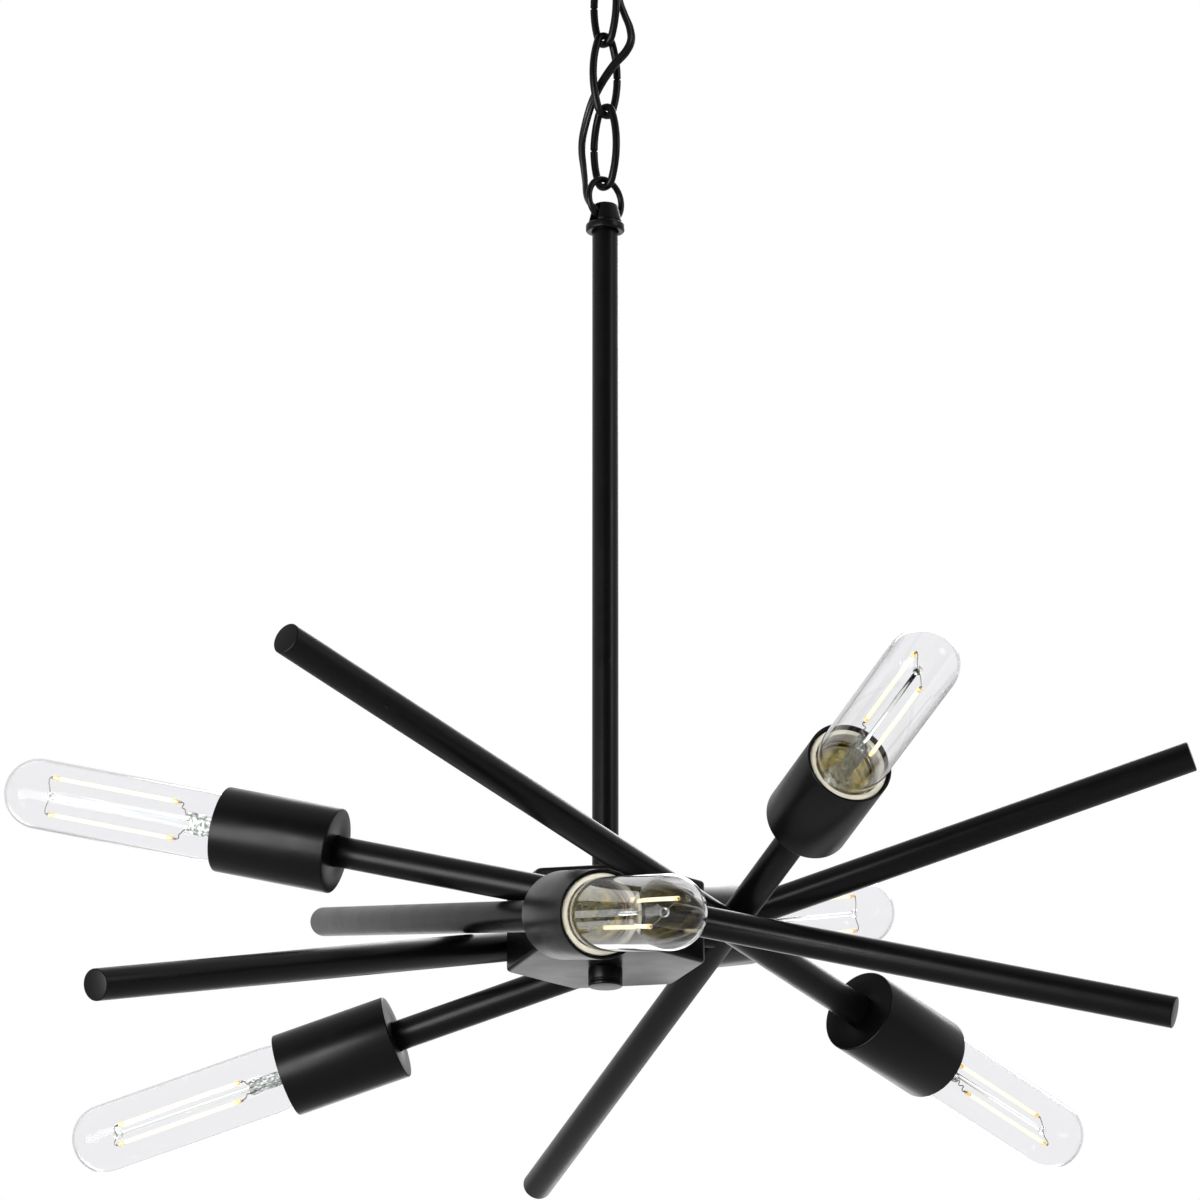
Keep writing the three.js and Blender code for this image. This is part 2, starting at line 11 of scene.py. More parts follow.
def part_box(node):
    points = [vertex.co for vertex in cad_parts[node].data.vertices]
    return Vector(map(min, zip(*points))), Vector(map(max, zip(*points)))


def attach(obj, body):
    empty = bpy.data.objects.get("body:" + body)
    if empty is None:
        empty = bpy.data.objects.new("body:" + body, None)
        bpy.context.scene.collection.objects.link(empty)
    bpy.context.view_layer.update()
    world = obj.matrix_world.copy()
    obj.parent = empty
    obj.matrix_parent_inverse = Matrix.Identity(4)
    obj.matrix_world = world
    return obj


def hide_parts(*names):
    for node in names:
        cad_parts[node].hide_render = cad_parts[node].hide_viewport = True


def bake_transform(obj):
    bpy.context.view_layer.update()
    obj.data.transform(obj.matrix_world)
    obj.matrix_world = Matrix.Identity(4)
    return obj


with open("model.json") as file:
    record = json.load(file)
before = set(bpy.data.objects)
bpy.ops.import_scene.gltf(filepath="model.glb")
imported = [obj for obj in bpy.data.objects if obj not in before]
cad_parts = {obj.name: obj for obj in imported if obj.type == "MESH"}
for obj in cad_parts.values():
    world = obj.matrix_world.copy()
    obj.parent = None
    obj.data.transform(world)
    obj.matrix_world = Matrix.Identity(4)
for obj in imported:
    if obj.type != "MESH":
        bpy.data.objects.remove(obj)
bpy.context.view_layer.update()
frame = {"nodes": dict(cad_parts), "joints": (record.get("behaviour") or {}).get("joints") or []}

bl_info = {
    "name": "Sputnik chandelier",
    "version": (1, 0, 0),
    "blender": (4, 5, 0),
    "location": "3D View > Sidebar > Chandelier",
    "description": "Dresses the packed frame of a six-armed chandelier",
    "category": "Object",
}

MM = 0.001
FULL_TURN = 2 * math.pi
WELD = 1e-6

# Steps round a corner, and the turn in degrees past which an edge stays sharp
SEGMENTS = 3
CREASE = 32
THREAD_CREASE = 50

JOINTS = {joint["name"]: joint for joint in frame["joints"]}
ARMS = (1, 2, 3, 4, 5, 6)

# A thin edge's rounding, the play between fitted pieces and the wall of the tubes
EDGE = 0.3 * MM
PLAY = 0.3 * MM
TUBE_WALL = 1.2 * MM

# Half the gap in a link's butt seam, and the share of the wire's thickness that is left in it
SEAM = 0.7 * MM
SEAM_SHARE = 0.65

# Turns about Z of the chain's plane, and of the hub from where its first arm would have it
CHAIN_TURN = math.radians(42.8)
HUB_LEAN = math.radians(0.93)

# In degrees, how each link turns from the chain's plane, and each lamp in its holder
LINK_TURNS = (("link_c", -90), ("link_b", 180), ("link_a", -90))
LAMP_TURNS = (72, 65, 92, -46, 96, 48)

# Heights below the ceiling, read off the frame
HUB_LOW, HUB_HIGH = (corner.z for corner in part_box("hub_shell"))
CAP_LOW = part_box("stem_cap")[0].z
RING_Z = sum(corner.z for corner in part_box("hang_ring")) / 2
LOOP_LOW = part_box("canopy_loop")[0].z

# Where the stem's end stops in the cap, above the cap's foot
CAP_SEAT = 3.9 * MM

# How far the cord twists in all, and the heights in millimetres where its stretches meet
CORD_TWIST = math.radians(200)
CORD_CUTS = (-68, -105, -143)

# Each stretch, the bodies it joins, and the heights where it leaves one and reaches the other
CORD_PARTS = (
    ("cord_top", "ceiling", "link_c", -42, -58),
    ("cord_upper", "link_c", "link_b", -79, -95),
    ("cord_lower", "link_b", "link_a", -116.5, -132.5),
    ("cord_bottom", "link_a", "hang_ring", -154, -170),
)

# The cord's route in millimetres: along the chain's plane, across it, and up from the ceiling
CORD_ROUTE = (
    (0, 0, -27),
    (0, 0, -32),
    (1.1, -0.4, -36.6),
    (3.4, -1.8, -41),
    (4.3, -3.3, -45),
    (4.3, -4.2, -49.5),
    (4.5, -4.5, -57),
    (5.2, -5.2, -65),
    (6.6, -7, -72),
    (8, -9.2, -79),
    (8.2, -10, -86),
    (6.2, -8.4, -92),
    (2.6, -4.6, -98),
    (-0.6, -0.8, -105),
    (-3, 2.5, -112),
    (-4.3, 5.6, -119),
    (-4.5, 9, -127),
    (-4.5, 11.6, -135),
    (-4.7, 11.8, -142),
    (-5.3, 10, -150),
    (-6.8, 7.2, -159),
    (-8.2, 5.1, -166.4),
    (-8.2, 3.3, -170.5),
    (-6.9, 1.2, -173.6),
    (-4.6, 0.4, -175),
    (-1.7, 0.3, -176),
)


def length(name, millimetres, description):
    metres = millimetres * MM
    return FloatProperty(name=name, description=description, default=metres, unit="LENGTH")


def colour(name, value, description):
    return FloatVectorProperty(
        name=name, description=description, default=value, subtype="COLOR", size=3, min=0, max=1
    )


class ChandelierSizes(bpy.types.PropertyGroup):
    """Sizes of the metal pieces, in the frame's metres"""

    canopy_radius: length("Canopy radius", 60, "Outer radius of the ceiling cup")
    canopy_depth: length("Canopy depth", 22, "Height of the ceiling cup")
    canopy_bend: length("Canopy bend", 17, "Radius of the cup's rolled edge")
    canopy_wall: length("Canopy wall", 1.4, "Thickness of the spun cup")
    collar_radius: length("Collar radius", 8, "Outer radius of the collar under the canopy")
    collar_height: length("Collar height", 14, "Height of the collar under the canopy")
    nipple_radius: length("Nipple radius", 5, "Radius of the threaded tube inside the canopy")
    loop_radius: length("Loop radius", 8, "Radius of the loop's wire line")
    loop_wire: length("Loop wire", 4, "Diameter of the loop's wire")
    link_wire: length("Link wire", 3.8, "Diameter of the chain's wire")
    link_width: length("Link width", 19.9, "Outer width of a chain link")
    link_length: length("Link length", 45.3, "Outer length of a chain link")
    link_bend: length("Link bend", 5.2, "Radius of a link's end bends at the wire line")
    ring_radius: length("Ring radius", 10.7, "Radius of the hanging ring's wire line")
    ring_wire: length("Ring wire", 3.1, "Diameter of the hanging ring's wire")
    cord_width: length("Cord width", 4.3, "Width of the flat twin cord")
    cord_thickness: length("Cord thickness", 2.6, "Thickness of the flat twin cord")
    cap_foot_radius: length("Cap foot radius", 9.5, "Radius of the stem cap's foot")
    cap_foot_height: length("Cap foot height", 4, "Height of the stem cap's foot")
    cap_height: length("Cap height", 14.2, "Height of the whole stem cap")
    stem_radius: length("Stem radius", 6.35, "Outer radius of the stem")
    hub_across: length("Hub across flats", 84, "Width of the hub between opposite faces")
    hub_corner: length("Hub corner", 2.4, "Radius of the hub's upright corners")
    hub_edge: length("Hub edge", 1.8, "Radius of the hub's upper and lower edges")
    finial_radius: length("Finial radius", 8.15, "Radius of the knob under the hub")
    finial_length: length("Finial length", 9.5, "Height of the knob under the hub")
    rod_radius: length("Rod radius", 7.4, "Outer radius of a rod")
    rod_reach: length("Rod reach", 287.8, "From a rod's pivot to its closed end")
    standoff_radius: length("Standoff radius", 6.25, "Radius of the short tube between hub and rod")
    cup_radius: length("Cup radius", 20.39, "Outer radius of a lamp cup")
    cup_back: length("Cup back", 120.65, "From a rod's pivot to its cup's back")
    cup_mouth: length("Cup mouth", 178, "From a rod's pivot to its cup's mouth")
    cup_wall: length("Cup wall", 1.2, "Thickness of the cup's wall")


class LampSizes(bpy.types.PropertyGroup):
    """Sizes of a lampholder and its lamp, measured from the rod's pivot"""

    holder_radius: length("Holder radius", 18.6, "Outer radius of the ivory lampholder")
    holder_bore: length("Holder bore", 15.9, "Radius of the lampholder's mouth")
    holder_base: length("Holder base", 127.65, "Where the lampholder begins")
    holder_top: length("Holder top", 176.5, "Where the lampholder ends, just inside the cup")
    shell_radius: length("Shell radius", 14.35, "Outer radius of the threaded shell")
    shell_base: length("Shell base", 141.3, "Where the threaded shell begins")
    shell_length: length("Shell length", 30, "Length of the threaded shell")
    base_start: length("Base start", 143, "Where the lamp's contact button ends")
    base_radius: length("Base radius", 13.1, "Crest radius of the lamp's screw base")
    base_length: length("Base length", 27, "Length of the lamp's screw base")
    thread_depth: length("Thread depth", 0.75, "Depth of the rolled thread")
    thread_pitch: length("Thread pitch", 3.6, "Distance between the thread's crests")
    glass_radius: length("Glass radius", 16.9, "Outer radius of the glass tube")
    glass_wall: length("Glass wall", 0.6, "Thickness of the glass")
    neck_radius: length("Neck radius", 12.3, "Outer radius of the glass neck")
    neck_start: length("Neck start", 161, "Where the glass neck begins inside the base")
    shoulder: length("Shoulder", 168.5, "Where the neck widens")
    bulge: length("Bulge", 175.5, "Where the shoulder is roundest")
    bulge_radius: length("Bulge radius", 15.3, "Outer radius of the glass there")
    wall_start: length("Wall start", 183.5, "Where the glass reaches its full width")
    tip: length("Tip", 289, "The far end of the lamp")
    press_start: length("Press start", 174.7, "Where the flat press of the glass foot begins")
    press_end: length("Press end", 197, "Where the press ends below the filaments")
    bead_radius: length("Bead radius", 2.2, "Radius of the glass bead")
    filament_near: length("Filament start", 202, "Near end of the two filaments")
    filament_far: length("Filament end", 266, "Far end of the two filaments")
    filament_spread: length("Filament spread", 17.8, "Distance between the two filaments")
    filament_radius: length("Filament radius", 1, "Radius of a filament")
    filament_tail: length("Filament tail", 3, "Golden end of a filament")


class ChandelierFinishes(bpy.types.PropertyGroup):
    """Colours of the finishes"""

    coat: colour("Black coat", (0.0018, 0.0018, 0.0019), "Satin black powder coat")
    coat_light: colour("Black coat highlights", (0.0034, 0.0033, 0.0032), "Its paler specks")
    zinc: colour("Zinc", (0.45, 0.46, 0.47), "Zinc plated steel strap")
    brass: colour("Brass", (0.62, 0.46, 0.2), "Rolled brass of the screw shells")
    ivory: colour("Ivory", (0.8, 0.76, 0.62), "Moulded lampholder")
    cord: colour("Cord", (0.003, 0.003, 0.003), "Black cord sheath")
    glass_tint: colour("Glass tint", (0.925, 0.925, 0.935), "Faint grey of the glass")
    # Painted shade: the dark outline of the glass seen edge on
    glass_edge_shade: colour("Glass edge", (0.1, 0.105, 0.11), "Grey of the glass seen edge on")
    # The cement's own colour, which its painted glow takes as well
    cement: colour("Cement", (0.5, 0.41, 0.16), "Olive cement round the lamp's neck")
    mount_tint: colour("Mount tint", (0.9, 0.93, 0.9), "Green of the glass rod and bead")
    # Painted shade in the folds of the clear glass foot
    press_fold_shade: colour("Press folds", (0.15, 0.2, 0.16), "Dark green folds of the glass foot")
    wire: colour("Support wire", (0.13, 0.11, 0.09), "Dull wire of the lamp's mount")
    glow: colour("Glow", (1.0, 0.97, 0.84), "Light of the filaments")
    glow_edge: colour("Glow edge", (1.0, 0.83, 0.5), "Filament coating seen edge on")
    # The tails' own golden colour, which their painted glow takes as well
    tail: colour("Golden tail", (0.8, 0.57, 0.22), "Golden ends of the filaments")


class StudioSettings(bpy.types.PropertyGroup):
    """Camera, lights and floor"""

    camera_lens: FloatProperty(
        name="Lens", description="Focal length of the camera", default=207.06, unit="CAMERA"
    )
    camera_place: FloatVectorProperty(
        name="Camera place",
        description="Where the camera stands",
        default=(-0.002548, -3.19463, -1.30581),
        subtype="TRANSLATION",
        unit="LENGTH",
    )
    camera_pitch: FloatProperty(
        name="Camera pitch",
        description="How far the camera looks up",
        default=math.radians(16.273),
        unit="ROTATION",
    )
    floor_height: FloatProperty(
        name="Floor height", description="Level of the floor", default=-1.7, unit="LENGTH"
    )
    floor_colour: colour("Floor colour", (0.88, 0.88, 0.88), "Pale floor")
    surround: FloatProperty(name="Surround", description="Strength of the even light", default=0.75)


def settings():
    return bpy.context.scene.chandelier


def sizes():
    return settings().sizes


def lamp_sizes():
    return settings().lamp


# Shaping helpers


def only(kind, items):
    return [item for item in items if isinstance(item, kind)]


def runs_along(edge, axis):
    """Whether an edge lies nearly along the axis."""
    first, second = edge.verts
    return abs((first.co - second.co).normalized().dot(Vector(axis))) > 0.9


def welded(shape, distance=WELD):
    bmesh.ops.remove_doubles(shape, verts=shape.verts[:], dist=distance)
    return shape


def rounded(shape, parts, radius, segments, affect="EDGES", clamp=False):
    """Rounds those edges or points of the shape."""
    bmesh.ops.bevel(
        shape,
        geom=parts,
        offset=radius,
        offset_type="OFFSET",
        segments=segments,
        profile=0.5,
        affect=affect,
        material=-1,
        clamp_overlap=clamp,
    )


def spun(shape, parts, steps, axis=(0, 0, 1), centre=(0, 0, 0), angle=FULL_TURN):
    """Spins parts of the shape about an axis and gives what it ends on. A full turn closes."""
    return bmesh.ops.spin(
        shape,
        geom=parts,
        cent=centre,
        axis=axis,
        dvec=(0, 0, 0),
        angle=angle,
        steps=steps,
        use_merge=angle == FULL_TURN,
        use_duplicate=False,
    )["geom_last"]


def outline(corners, closed):
    """One line through (radius, height, rounding, segments) corners in the XZ plane."""
    shape = bmesh.new()
    points = [shape.verts.new((radius, 0, height)) for radius, height, *_ in corners]
    for first, second in zip(points, points[1:]):
        shape.edges.new((first, second))
    if closed:
        shape.edges.new((points[-1], points[0]))
    for point, (_, _, *rounding) in zip(points, corners):
        if rounding:
            radius, segments = (*rounding, SEGMENTS)[:2]
            rounded(shape, [point], radius, segments, "VERTICES")
    return shape


def turned(*corners, steps=64):
    """The outline spun about Z. One that begins and ends on the axis isn't closed along it."""
    shape = outline(corners, closed=corners[0][0] != 0 or corners[-1][0] != 0)
    spun(shape, shape.verts[:] + shape.edges[:], steps)
    return welded(shape)


def wire_section(out, wire):
    """The round section of a wire, level and set out along X."""
    shape = bmesh.new()
    bmesh.ops.create_circle(shape, segments=20, radius=wire / 2)
    bmesh.ops.translate(shape, vec=(out, 0, 0), verts=shape.verts[:])
    return shape


def wire_ring(radius, wire):
    """A closed ring of round wire in the XZ plane."""
    shape = wire_section(radius, wire)
    spun(shape, shape.verts[:] + shape.edges[:], 64, axis=(0, 1, 0))
    return shape


def wire_link(width, height, bend, wire):
    """An oval link of round wire in the XZ plane: bowed legs, tight bends and a butt seam."""
    half_width, half_height = (width - wire) / 2, (height - wire) / 2
    rise = half_height - bend
    leg = (half_width**2 + rise**2 - bend**2) / (2 * (half_width - bend))
    leg_turn = math.atan2(rise, leg - half_width)
    shape = wire_section(half_width, wire)
    last = shape.verts[:] + shape.edges[:]
    for centre, turn, steps in (
        ((half_width - leg, 0, 0), leg_turn, 8),
        ((0, 0, rise), math.pi - 2 * leg_turn, 20),
        ((leg - half_width, 0, 0), leg_turn - SEAM / leg, 8),
    ):
        last = spun(shape, last, steps, (0, -1, 0), centre, turn)
    sunk = bmesh.ops.extrude_edge_only(shape, edges=only(bmesh.types.BMEdge, last))["geom"]
    for vert in only(bmesh.types.BMVert, sunk):
        out = (vert.co.x + half_width) * SEAM_SHARE
        vert.co = (out - half_width, vert.co.y * SEAM_SHARE, 0)
    everything = shape.verts[:] + shape.edges[:] + shape.faces[:]
    bmesh.ops.mirror(shape, geom=everything, merge_dist=1e-5, axis="Z")
    return welded(shape)


def block(size, centre):
    """A box of that size about its centre."""
    shape = bmesh.new()
    bmesh.ops.create_cube(shape, size=1)
    bmesh.ops.scale(shape, vec=size, verts=shape.verts[:])
    bmesh.ops.translate(shape, vec=centre, verts=shape.verts[:])
    return shape


def moved(shape, matrix):
    bmesh.ops.transform(shape, matrix=matrix, verts=shape.verts[:])
    return shape


def strip(start, end, radius, steps):
    """A round bar between two points with rounded ends."""
    line = Vector(end) - Vector(start)
    rounding = radius / 2
    bar = turned(
        (0, 0),
        (radius, 0, rounding, 2),
        (radius, line.length, rounding, 2),
        (0, line.length),
        steps=steps,
    )
    turn = line.to_track_quat("Z", "X").to_matrix().to_4x4()
    return moved(bar, Matrix.Translation(start) @ turn)


def placed(name, data):
    """A new object in the scene that holds the data."""
    made = bpy.data.objects.new(name, data)
    bpy.context.scene.collection.objects.link(made)
    return made


def mesh_of(shape, name):
    mesh = bpy.data.meshes.new(name)
    shape.to_mesh(mesh)
    shape.free()
    return mesh


def shape_of(mesh):
    shape = bmesh.new()
    shape.from_mesh(mesh)
    return shape


def final_mesh(made):
    """The object's mesh as its curve or its modifiers give it."""
    bpy.context.view_layer.update()
    return bpy.data.meshes.new_from_object(
        made.evaluated_get(bpy.context.evaluated_depsgraph_get())
    )


def curve_mesh(curve):
    """The mesh of a curve with its thickness."""
    holder = placed(curve.name, curve)
    mesh = final_mesh(holder)
    bpy.data.objects.remove(holder)
    return mesh


def bent_wire(points, radius):
    """A thin wire along a few points, made as a rounded line and given its thickness."""
    curve = bpy.data.curves.new("wire_line", "CURVE")
    curve.dimensions = "3D"
    curve.bevel_depth = radius
    curve.bevel_resolution = 2
    curve.use_fill_caps = True
    curve.resolution_u = 5
    line = curve.splines.new("BEZIER")
    line.bezier_points.add(len(points) - 1)
    for point, place in zip(line.bezier_points, points):
        point.co = place
        point.handle_left_type = "AUTO"
        point.handle_right_type = "AUTO"
    mesh = curve_mesh(curve)
    shape = shape_of(mesh)
    bpy.data.meshes.remove(mesh)
    return welded(shape, 1e-7)


def joined(*shapes):
    """The shapes as one mesh, the later ones copied into the first."""
    whole = shapes[0]
    for other in shapes[1:]:
        scrap = mesh_of(other, "scrap")
        whole.from_mesh(scrap)
        bpy.data.meshes.remove(scrap)
    return whole


def painted(shape, index):
    """Every face of the shape takes that place in the piece's list of finishes."""
    for face in shape.faces:
        face.material_index = index
    return shape


def mark_edges(shape, crease):
    """Edges that turn by more degrees than the crease stay sharp."""
    for edge in shape.edges:
        if len(edge.link_faces) == 2:
            edge.smooth = edge.calc_face_angle() < math.radians(crease)


def piece(name, shape, finishes, body, replaced=(), matrix=None, crease=CREASE):
    """Puts a finished shape into the scene on its body, smooth but for its sharp edges."""
    if matrix is not None:
        moved(shape, matrix)
    bmesh.ops.recalc_face_normals(shape, faces=shape.faces[:])
    for face in shape.faces:
        face.smooth = True
    mark_edges(shape, crease)
    made = placed(name, mesh_of(shape, name))
    for finish_name in finishes:
        made.data.materials.append(finish(finish_name))
    if body:
        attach(made, body)
    if replaced:
        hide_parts(*replaced)
    return made


def coated(name, shape, body, node, matrix=None, crease=CREASE):
    """A piece in the black coat that stands for one node of the frame."""
    return piece(name, shape, ["black_coat"], body, [node], matrix, crease)


def upright(height, turn=0.0):
    return Matrix.Translation((0, 0, height)) @ Matrix.Rotation(turn, 4, "Z")


def arm_matrix(number):
    """The rod's own frame: its pivot, Z along the rod to the lamp and X out of the hub's face."""
    swivel = JOINTS[f"arm_{number}_swivel"]
    along = Vector(JOINTS[f"bulb_{number}_unscrew"]["axis"]).normalized()
    out = -Vector(swivel["axis"]).normalized()
    across = along.cross(out)
    turn = Matrix((out, across, along)).transposed().to_4x4()
    return Matrix.Translation(swivel["pos_m"]) @ turn


def lamp_matrix(number):
    turn = math.radians(LAMP_TURNS[number - 1])
    return arm_matrix(number) @ Matrix.Rotation(turn, 4, "Z")


def arm_pieces(number, body, matrix, *pieces):
    """Puts pieces on one arm: for each its name, shape, finishes, node if any, slot and crease."""
    for name, shape, finishes, node, slot, crease in pieces:
        nodes = [f"{node}_{number}"] if node else ()
        name = f"{name}_{number}"
        piece(name, shape, finishes, f"{body}_{number}", nodes, matrix, crease)


# Finishes


def add_node(tree, kind, links=(), **values):
    """A node with its settings and inputs filled in. A link gives a socket and what feeds it."""
    made = tree.nodes.new(kind)
    for key, value in values.items():
        if key in made.bl_rna.properties:
            setattr(made, key, value)
        else:
            made.inputs[key.replace("_", " ")].default_value = value
    for socket, source in links:
        tree.links.new(source, made.inputs[socket])
    return made


class Finish:
    """A material on the Principled shader, with helpers that wire textures into it."""

    def __init__(self, name, **values):
        self.material = bpy.data.materials.new(name)
        self.material.use_nodes = True
        self.tree = self.material.node_tree
        self.shader = self.tree.nodes["Principled BSDF"]
        for socket, value in values.items():
            self.shader.inputs[socket.replace("_", " ")].default_value = value
        self.place = self.tree.nodes.new("ShaderNodeTexCoord").outputs["Object"]

    def node(self, kind, links=(), **values):
        return add_node(self.tree, kind, links, **values)

    def wire(self, socket, source):
        self.tree.links.new(source, self.shader.inputs[socket])

    def noise(self, scale, detail=3.0, roughness=0.5):
        made = self.node(
            "ShaderNodeTexNoise",
            [("Vector", self.place)],
            Scale=scale,
            Detail=detail,
            Roughness=roughness,
        )
        return made.outputs["Fac"]

    def facing(self, blend):
        """0 where the surface faces the eye, and 1 where it is seen edge on."""
        return self.node("ShaderNodeLayerWeight", Blend=blend).outputs["Facing"]

    def ramp(self, source, low, high, start=0.3, end=0.7):
        """Colours from low to high, or shades where plain numbers are given."""
        made = self.node("ShaderNodeValToRGB", [("Fac", source)])
        stops = made.color_ramp.elements
        for stop, place, value in ((stops[0], start, low), (stops[1], end, high)):
            stop.position = place
            stop.color = (*value, 1) if hasattr(value, "__len__") else (value, value, value, 1)
        return made.outputs["Color"]

    def colour(self, source, low, high, start=0.3, end=0.7):
        self.wire("Base Color", self.ramp(source, low, high, start, end))

    def roughness(self, source, low, high):
        spread = {"From_Min": 0.3, "From_Max": 0.7, "To_Min": low, "To_Max": high}
        made = self.node("ShaderNodeMapRange", [("Value", source)], **spread)
        self.wire("Roughness", made.outputs["Result"])

    def glowing(self, shade):
        """The same shade on the surface and in its light."""
        self.wire("Base Color", shade)
        self.wire("Emission Color", shade)

    def bump(self, height, distance, strength=1.0):
        values = {"Strength": strength, "Distance": distance}
        made = self.node("ShaderNodeBump", [("Height", height)], **values)
        self.wire("Normal", made.outputs["Normal"])


def grey(value):
    return (value, value, value, 1)


def black_coat(colours):
    """Satin powder coat: a fine orange peel, and broad patches a little glossier than others."""
    coat = Finish("black_coat", Specular_IOR_Level=0.09)
    coat.colour(coat.noise(1500, 2), colours.coat, colours.coat_light, 0.35, 0.75)
    coat.roughness(coat.noise(70, 4), 0.29, 0.35)
    coat.bump(coat.noise(2200, 3), 0.00004, 0.2)
    return coat


def zinc_steel(colours):
    zinc = Finish("zinc_steel", Metallic=1.0)
    cells = zinc.node("ShaderNodeTexVoronoi", [("Vector", zinc.place)], Scale=300.0)
    zinc.colour(cells.outputs["Distance"], colours.zinc, (0.6, 0.61, 0.63))
    zinc.roughness(zinc.noise(120), 0.28, 0.42)
    return zinc


def brass(colours):
    metal = Finish("brass", Metallic=1.0)
    metal.colour(metal.noise(160, 4), colours.brass, (0.5, 0.36, 0.15))
    metal.roughness(metal.noise(400), 0.22, 0.4)
    return metal


def ivory(colours):
    moulded = Finish("ivory", Specular_IOR_Level=0.45)
    moulded.colour(moulded.noise(60, 4), colours.ivory, (0.76, 0.71, 0.57))
    moulded.roughness(moulded.noise(500), 0.42, 0.55)
    moulded.bump(moulded.noise(900, 2), 0.00003, 0.4)
    return moulded


def insulator(colours):
    """The black ring between a lamp's screw base and its contact."""
    black = Finish("insulator")
    grain = black.noise(300)
    black.colour(grain, (0.008, 0.008, 0.009), (0.014, 0.014, 0.014))
    black.roughness(grain, 0.25, 0.4)
    return black


def cord_sheath(colours):
    sheath = Finish("cord_sheath", Specular_IOR_Level=0.16)
    sheath.colour(sheath.noise(500), colours.cord, (0.006, 0.006, 0.0058))
    sheath.roughness(sheath.noise(260, 4), 0.2, 0.3)
    sheath.bump(sheath.noise(1300, 2), 0.00004, 0.5)
    return sheath


def clear_glass(colours):
    """Clear glass with painted shade where the wall is seen edge on: there it greys and lets less
    light through.
    """
    glass = Finish("clear_glass", Roughness=0.0, IOR=1.25, Specular_Tint=grey(0.3))
    facing = glass.facing(0.35)
    glass.colour(facing, colours.glass_tint, colours.glass_edge_shade, 0.5, 0.9)
    glass.wire("Transmission Weight", glass.ramp(facing, 1.0, 0.45, 0.62, 0.86))
    return glass


def mount_glass(colours):
    """The lamp's drawn glass rod and bead, faintly green."""
    glass = Finish(
        "mount_glass", Roughness=0.02, IOR=1.3, Transmission_Weight=1.0, Specular_Tint=grey(0.4)
    )
    glass.colour(glass.noise(300), colours.mount_tint, (0.93, 0.97, 0.95))
    return glass


def pressed_glass(colours):
    """The lamp's pressed foot: crumpled, faintly green glass with painted dark green shade in its
    folds.
    """
    glass = Finish("pressed_glass", Roughness=0.05, IOR=1.5, Specular_Tint=grey(0.6))
    folds = glass.noise(420, 4, 0.65)
    glass.wire("Transmission Weight", glass.ramp(folds, 0.75, 1.0, 0.4, 0.5))
    glass.colour(folds, colours.press_fold_shade, (0.97, 0.99, 0.97), 0.41, 0.51)
    glass.bump(glass.noise(380, 4), 0.0014)
    return glass


def cement(colours):
    """Olive cement with a painted glow, which stands in for the light that the lit filaments shine
    on it from inside the lamp.
    """
    cement_painted_glow = Finish("cement", Roughness=0.35, Emission_Strength=0.3)
    cement_painted_glow.glowing(cement_painted_glow.ramp(cement_painted_glow.noise(260, 4), (0.2, 0.19, 0.08), colours.cement, 0.38, 0.6))
    cement_painted_glow.bump(cement_painted_glow.noise(420, 3), 0.0004, 0.6)
    return cement_painted_glow


def support_wire(colours):
    wire = Finish("support_wire", Metallic=1.0)
    grain = wire.noise(900)
    wire.colour(grain, colours.wire, (0.3, 0.26, 0.2))
    wire.roughness(grain, 0.3, 0.5)
    return wire


def filament_glow(colours):
    """A lit filament: nearly white along its middle and yellow where it is seen edge on."""
    glow = Finish(
        "filament_glow", Roughness=0.6, Base_Color=(0.15, 0.12, 0.06, 1), Emission_Strength=1.15
    )
    light = glow.ramp(glow.facing(0.4), colours.glow, colours.glow_edge, 0.25, 0.9)
    glow.wire("Emission Color", light)
    return glow


def filament_tail(colours):
    # The filaments' golden ends in their own colour, with a painted glow
    tail = Finish("filament_tail", Metallic=0.3, Roughness=0.35, Emission_Strength=0.35)
    tail.glowing(tail.ramp(tail.noise(900), colours.tail, (0.88, 0.66, 0.32)))
    return tail


FINISH_MAKERS = {
    maker.__name__: maker
    for maker in (
        black_coat,
        zinc_steel,
        brass,
        ivory,
        insulator,
        cement,
        cord_sheath,
        clear_glass,
        mount_glass,
        pressed_glass,
        support_wire,
        filament_glow,
        filament_tail,
    )
}
FINISHES = {}


def finish(name):
    """The material of that name, made when it is first asked for."""
    if name not in FINISHES:
        FINISHES[name] = FINISH_MAKERS[name](settings().finishes).material
    return FINISHES[name]


# Operators, one for each piece or group of like pieces


class CHANDELIER_OT_camera(bpy.types.Operator):
    """Set the camera at the photographed viewing angle"""

    bl_idname = "chandelier.camera"
    bl_label = "Camera"

    def execute(self, context):
        studio = settings().studio
        data = bpy.data.cameras.new("camera")
        data.sensor_width = 36
        data.lens = studio.camera_lens
        data.clip_start = 0.1
        data.clip_end = 100
        camera = placed("camera", data)
        camera.location = studio.camera_place
        camera.rotation_euler = (math.pi / 2 + studio.camera_pitch, 0, 0)
        context.scene.camera = camera
        return {"FINISHED"}


def cord_points():
    """The cord's route in the frame, in metres."""
    along = Vector((math.cos(CHAIN_TURN), math.sin(CHAIN_TURN), 0))
    across = Vector((-along.y, along.x, 0))
    return [
        (along * first + across * second) * MM + Vector((0, 0, height * MM))
        for first, second, height in CORD_ROUTE
    ]


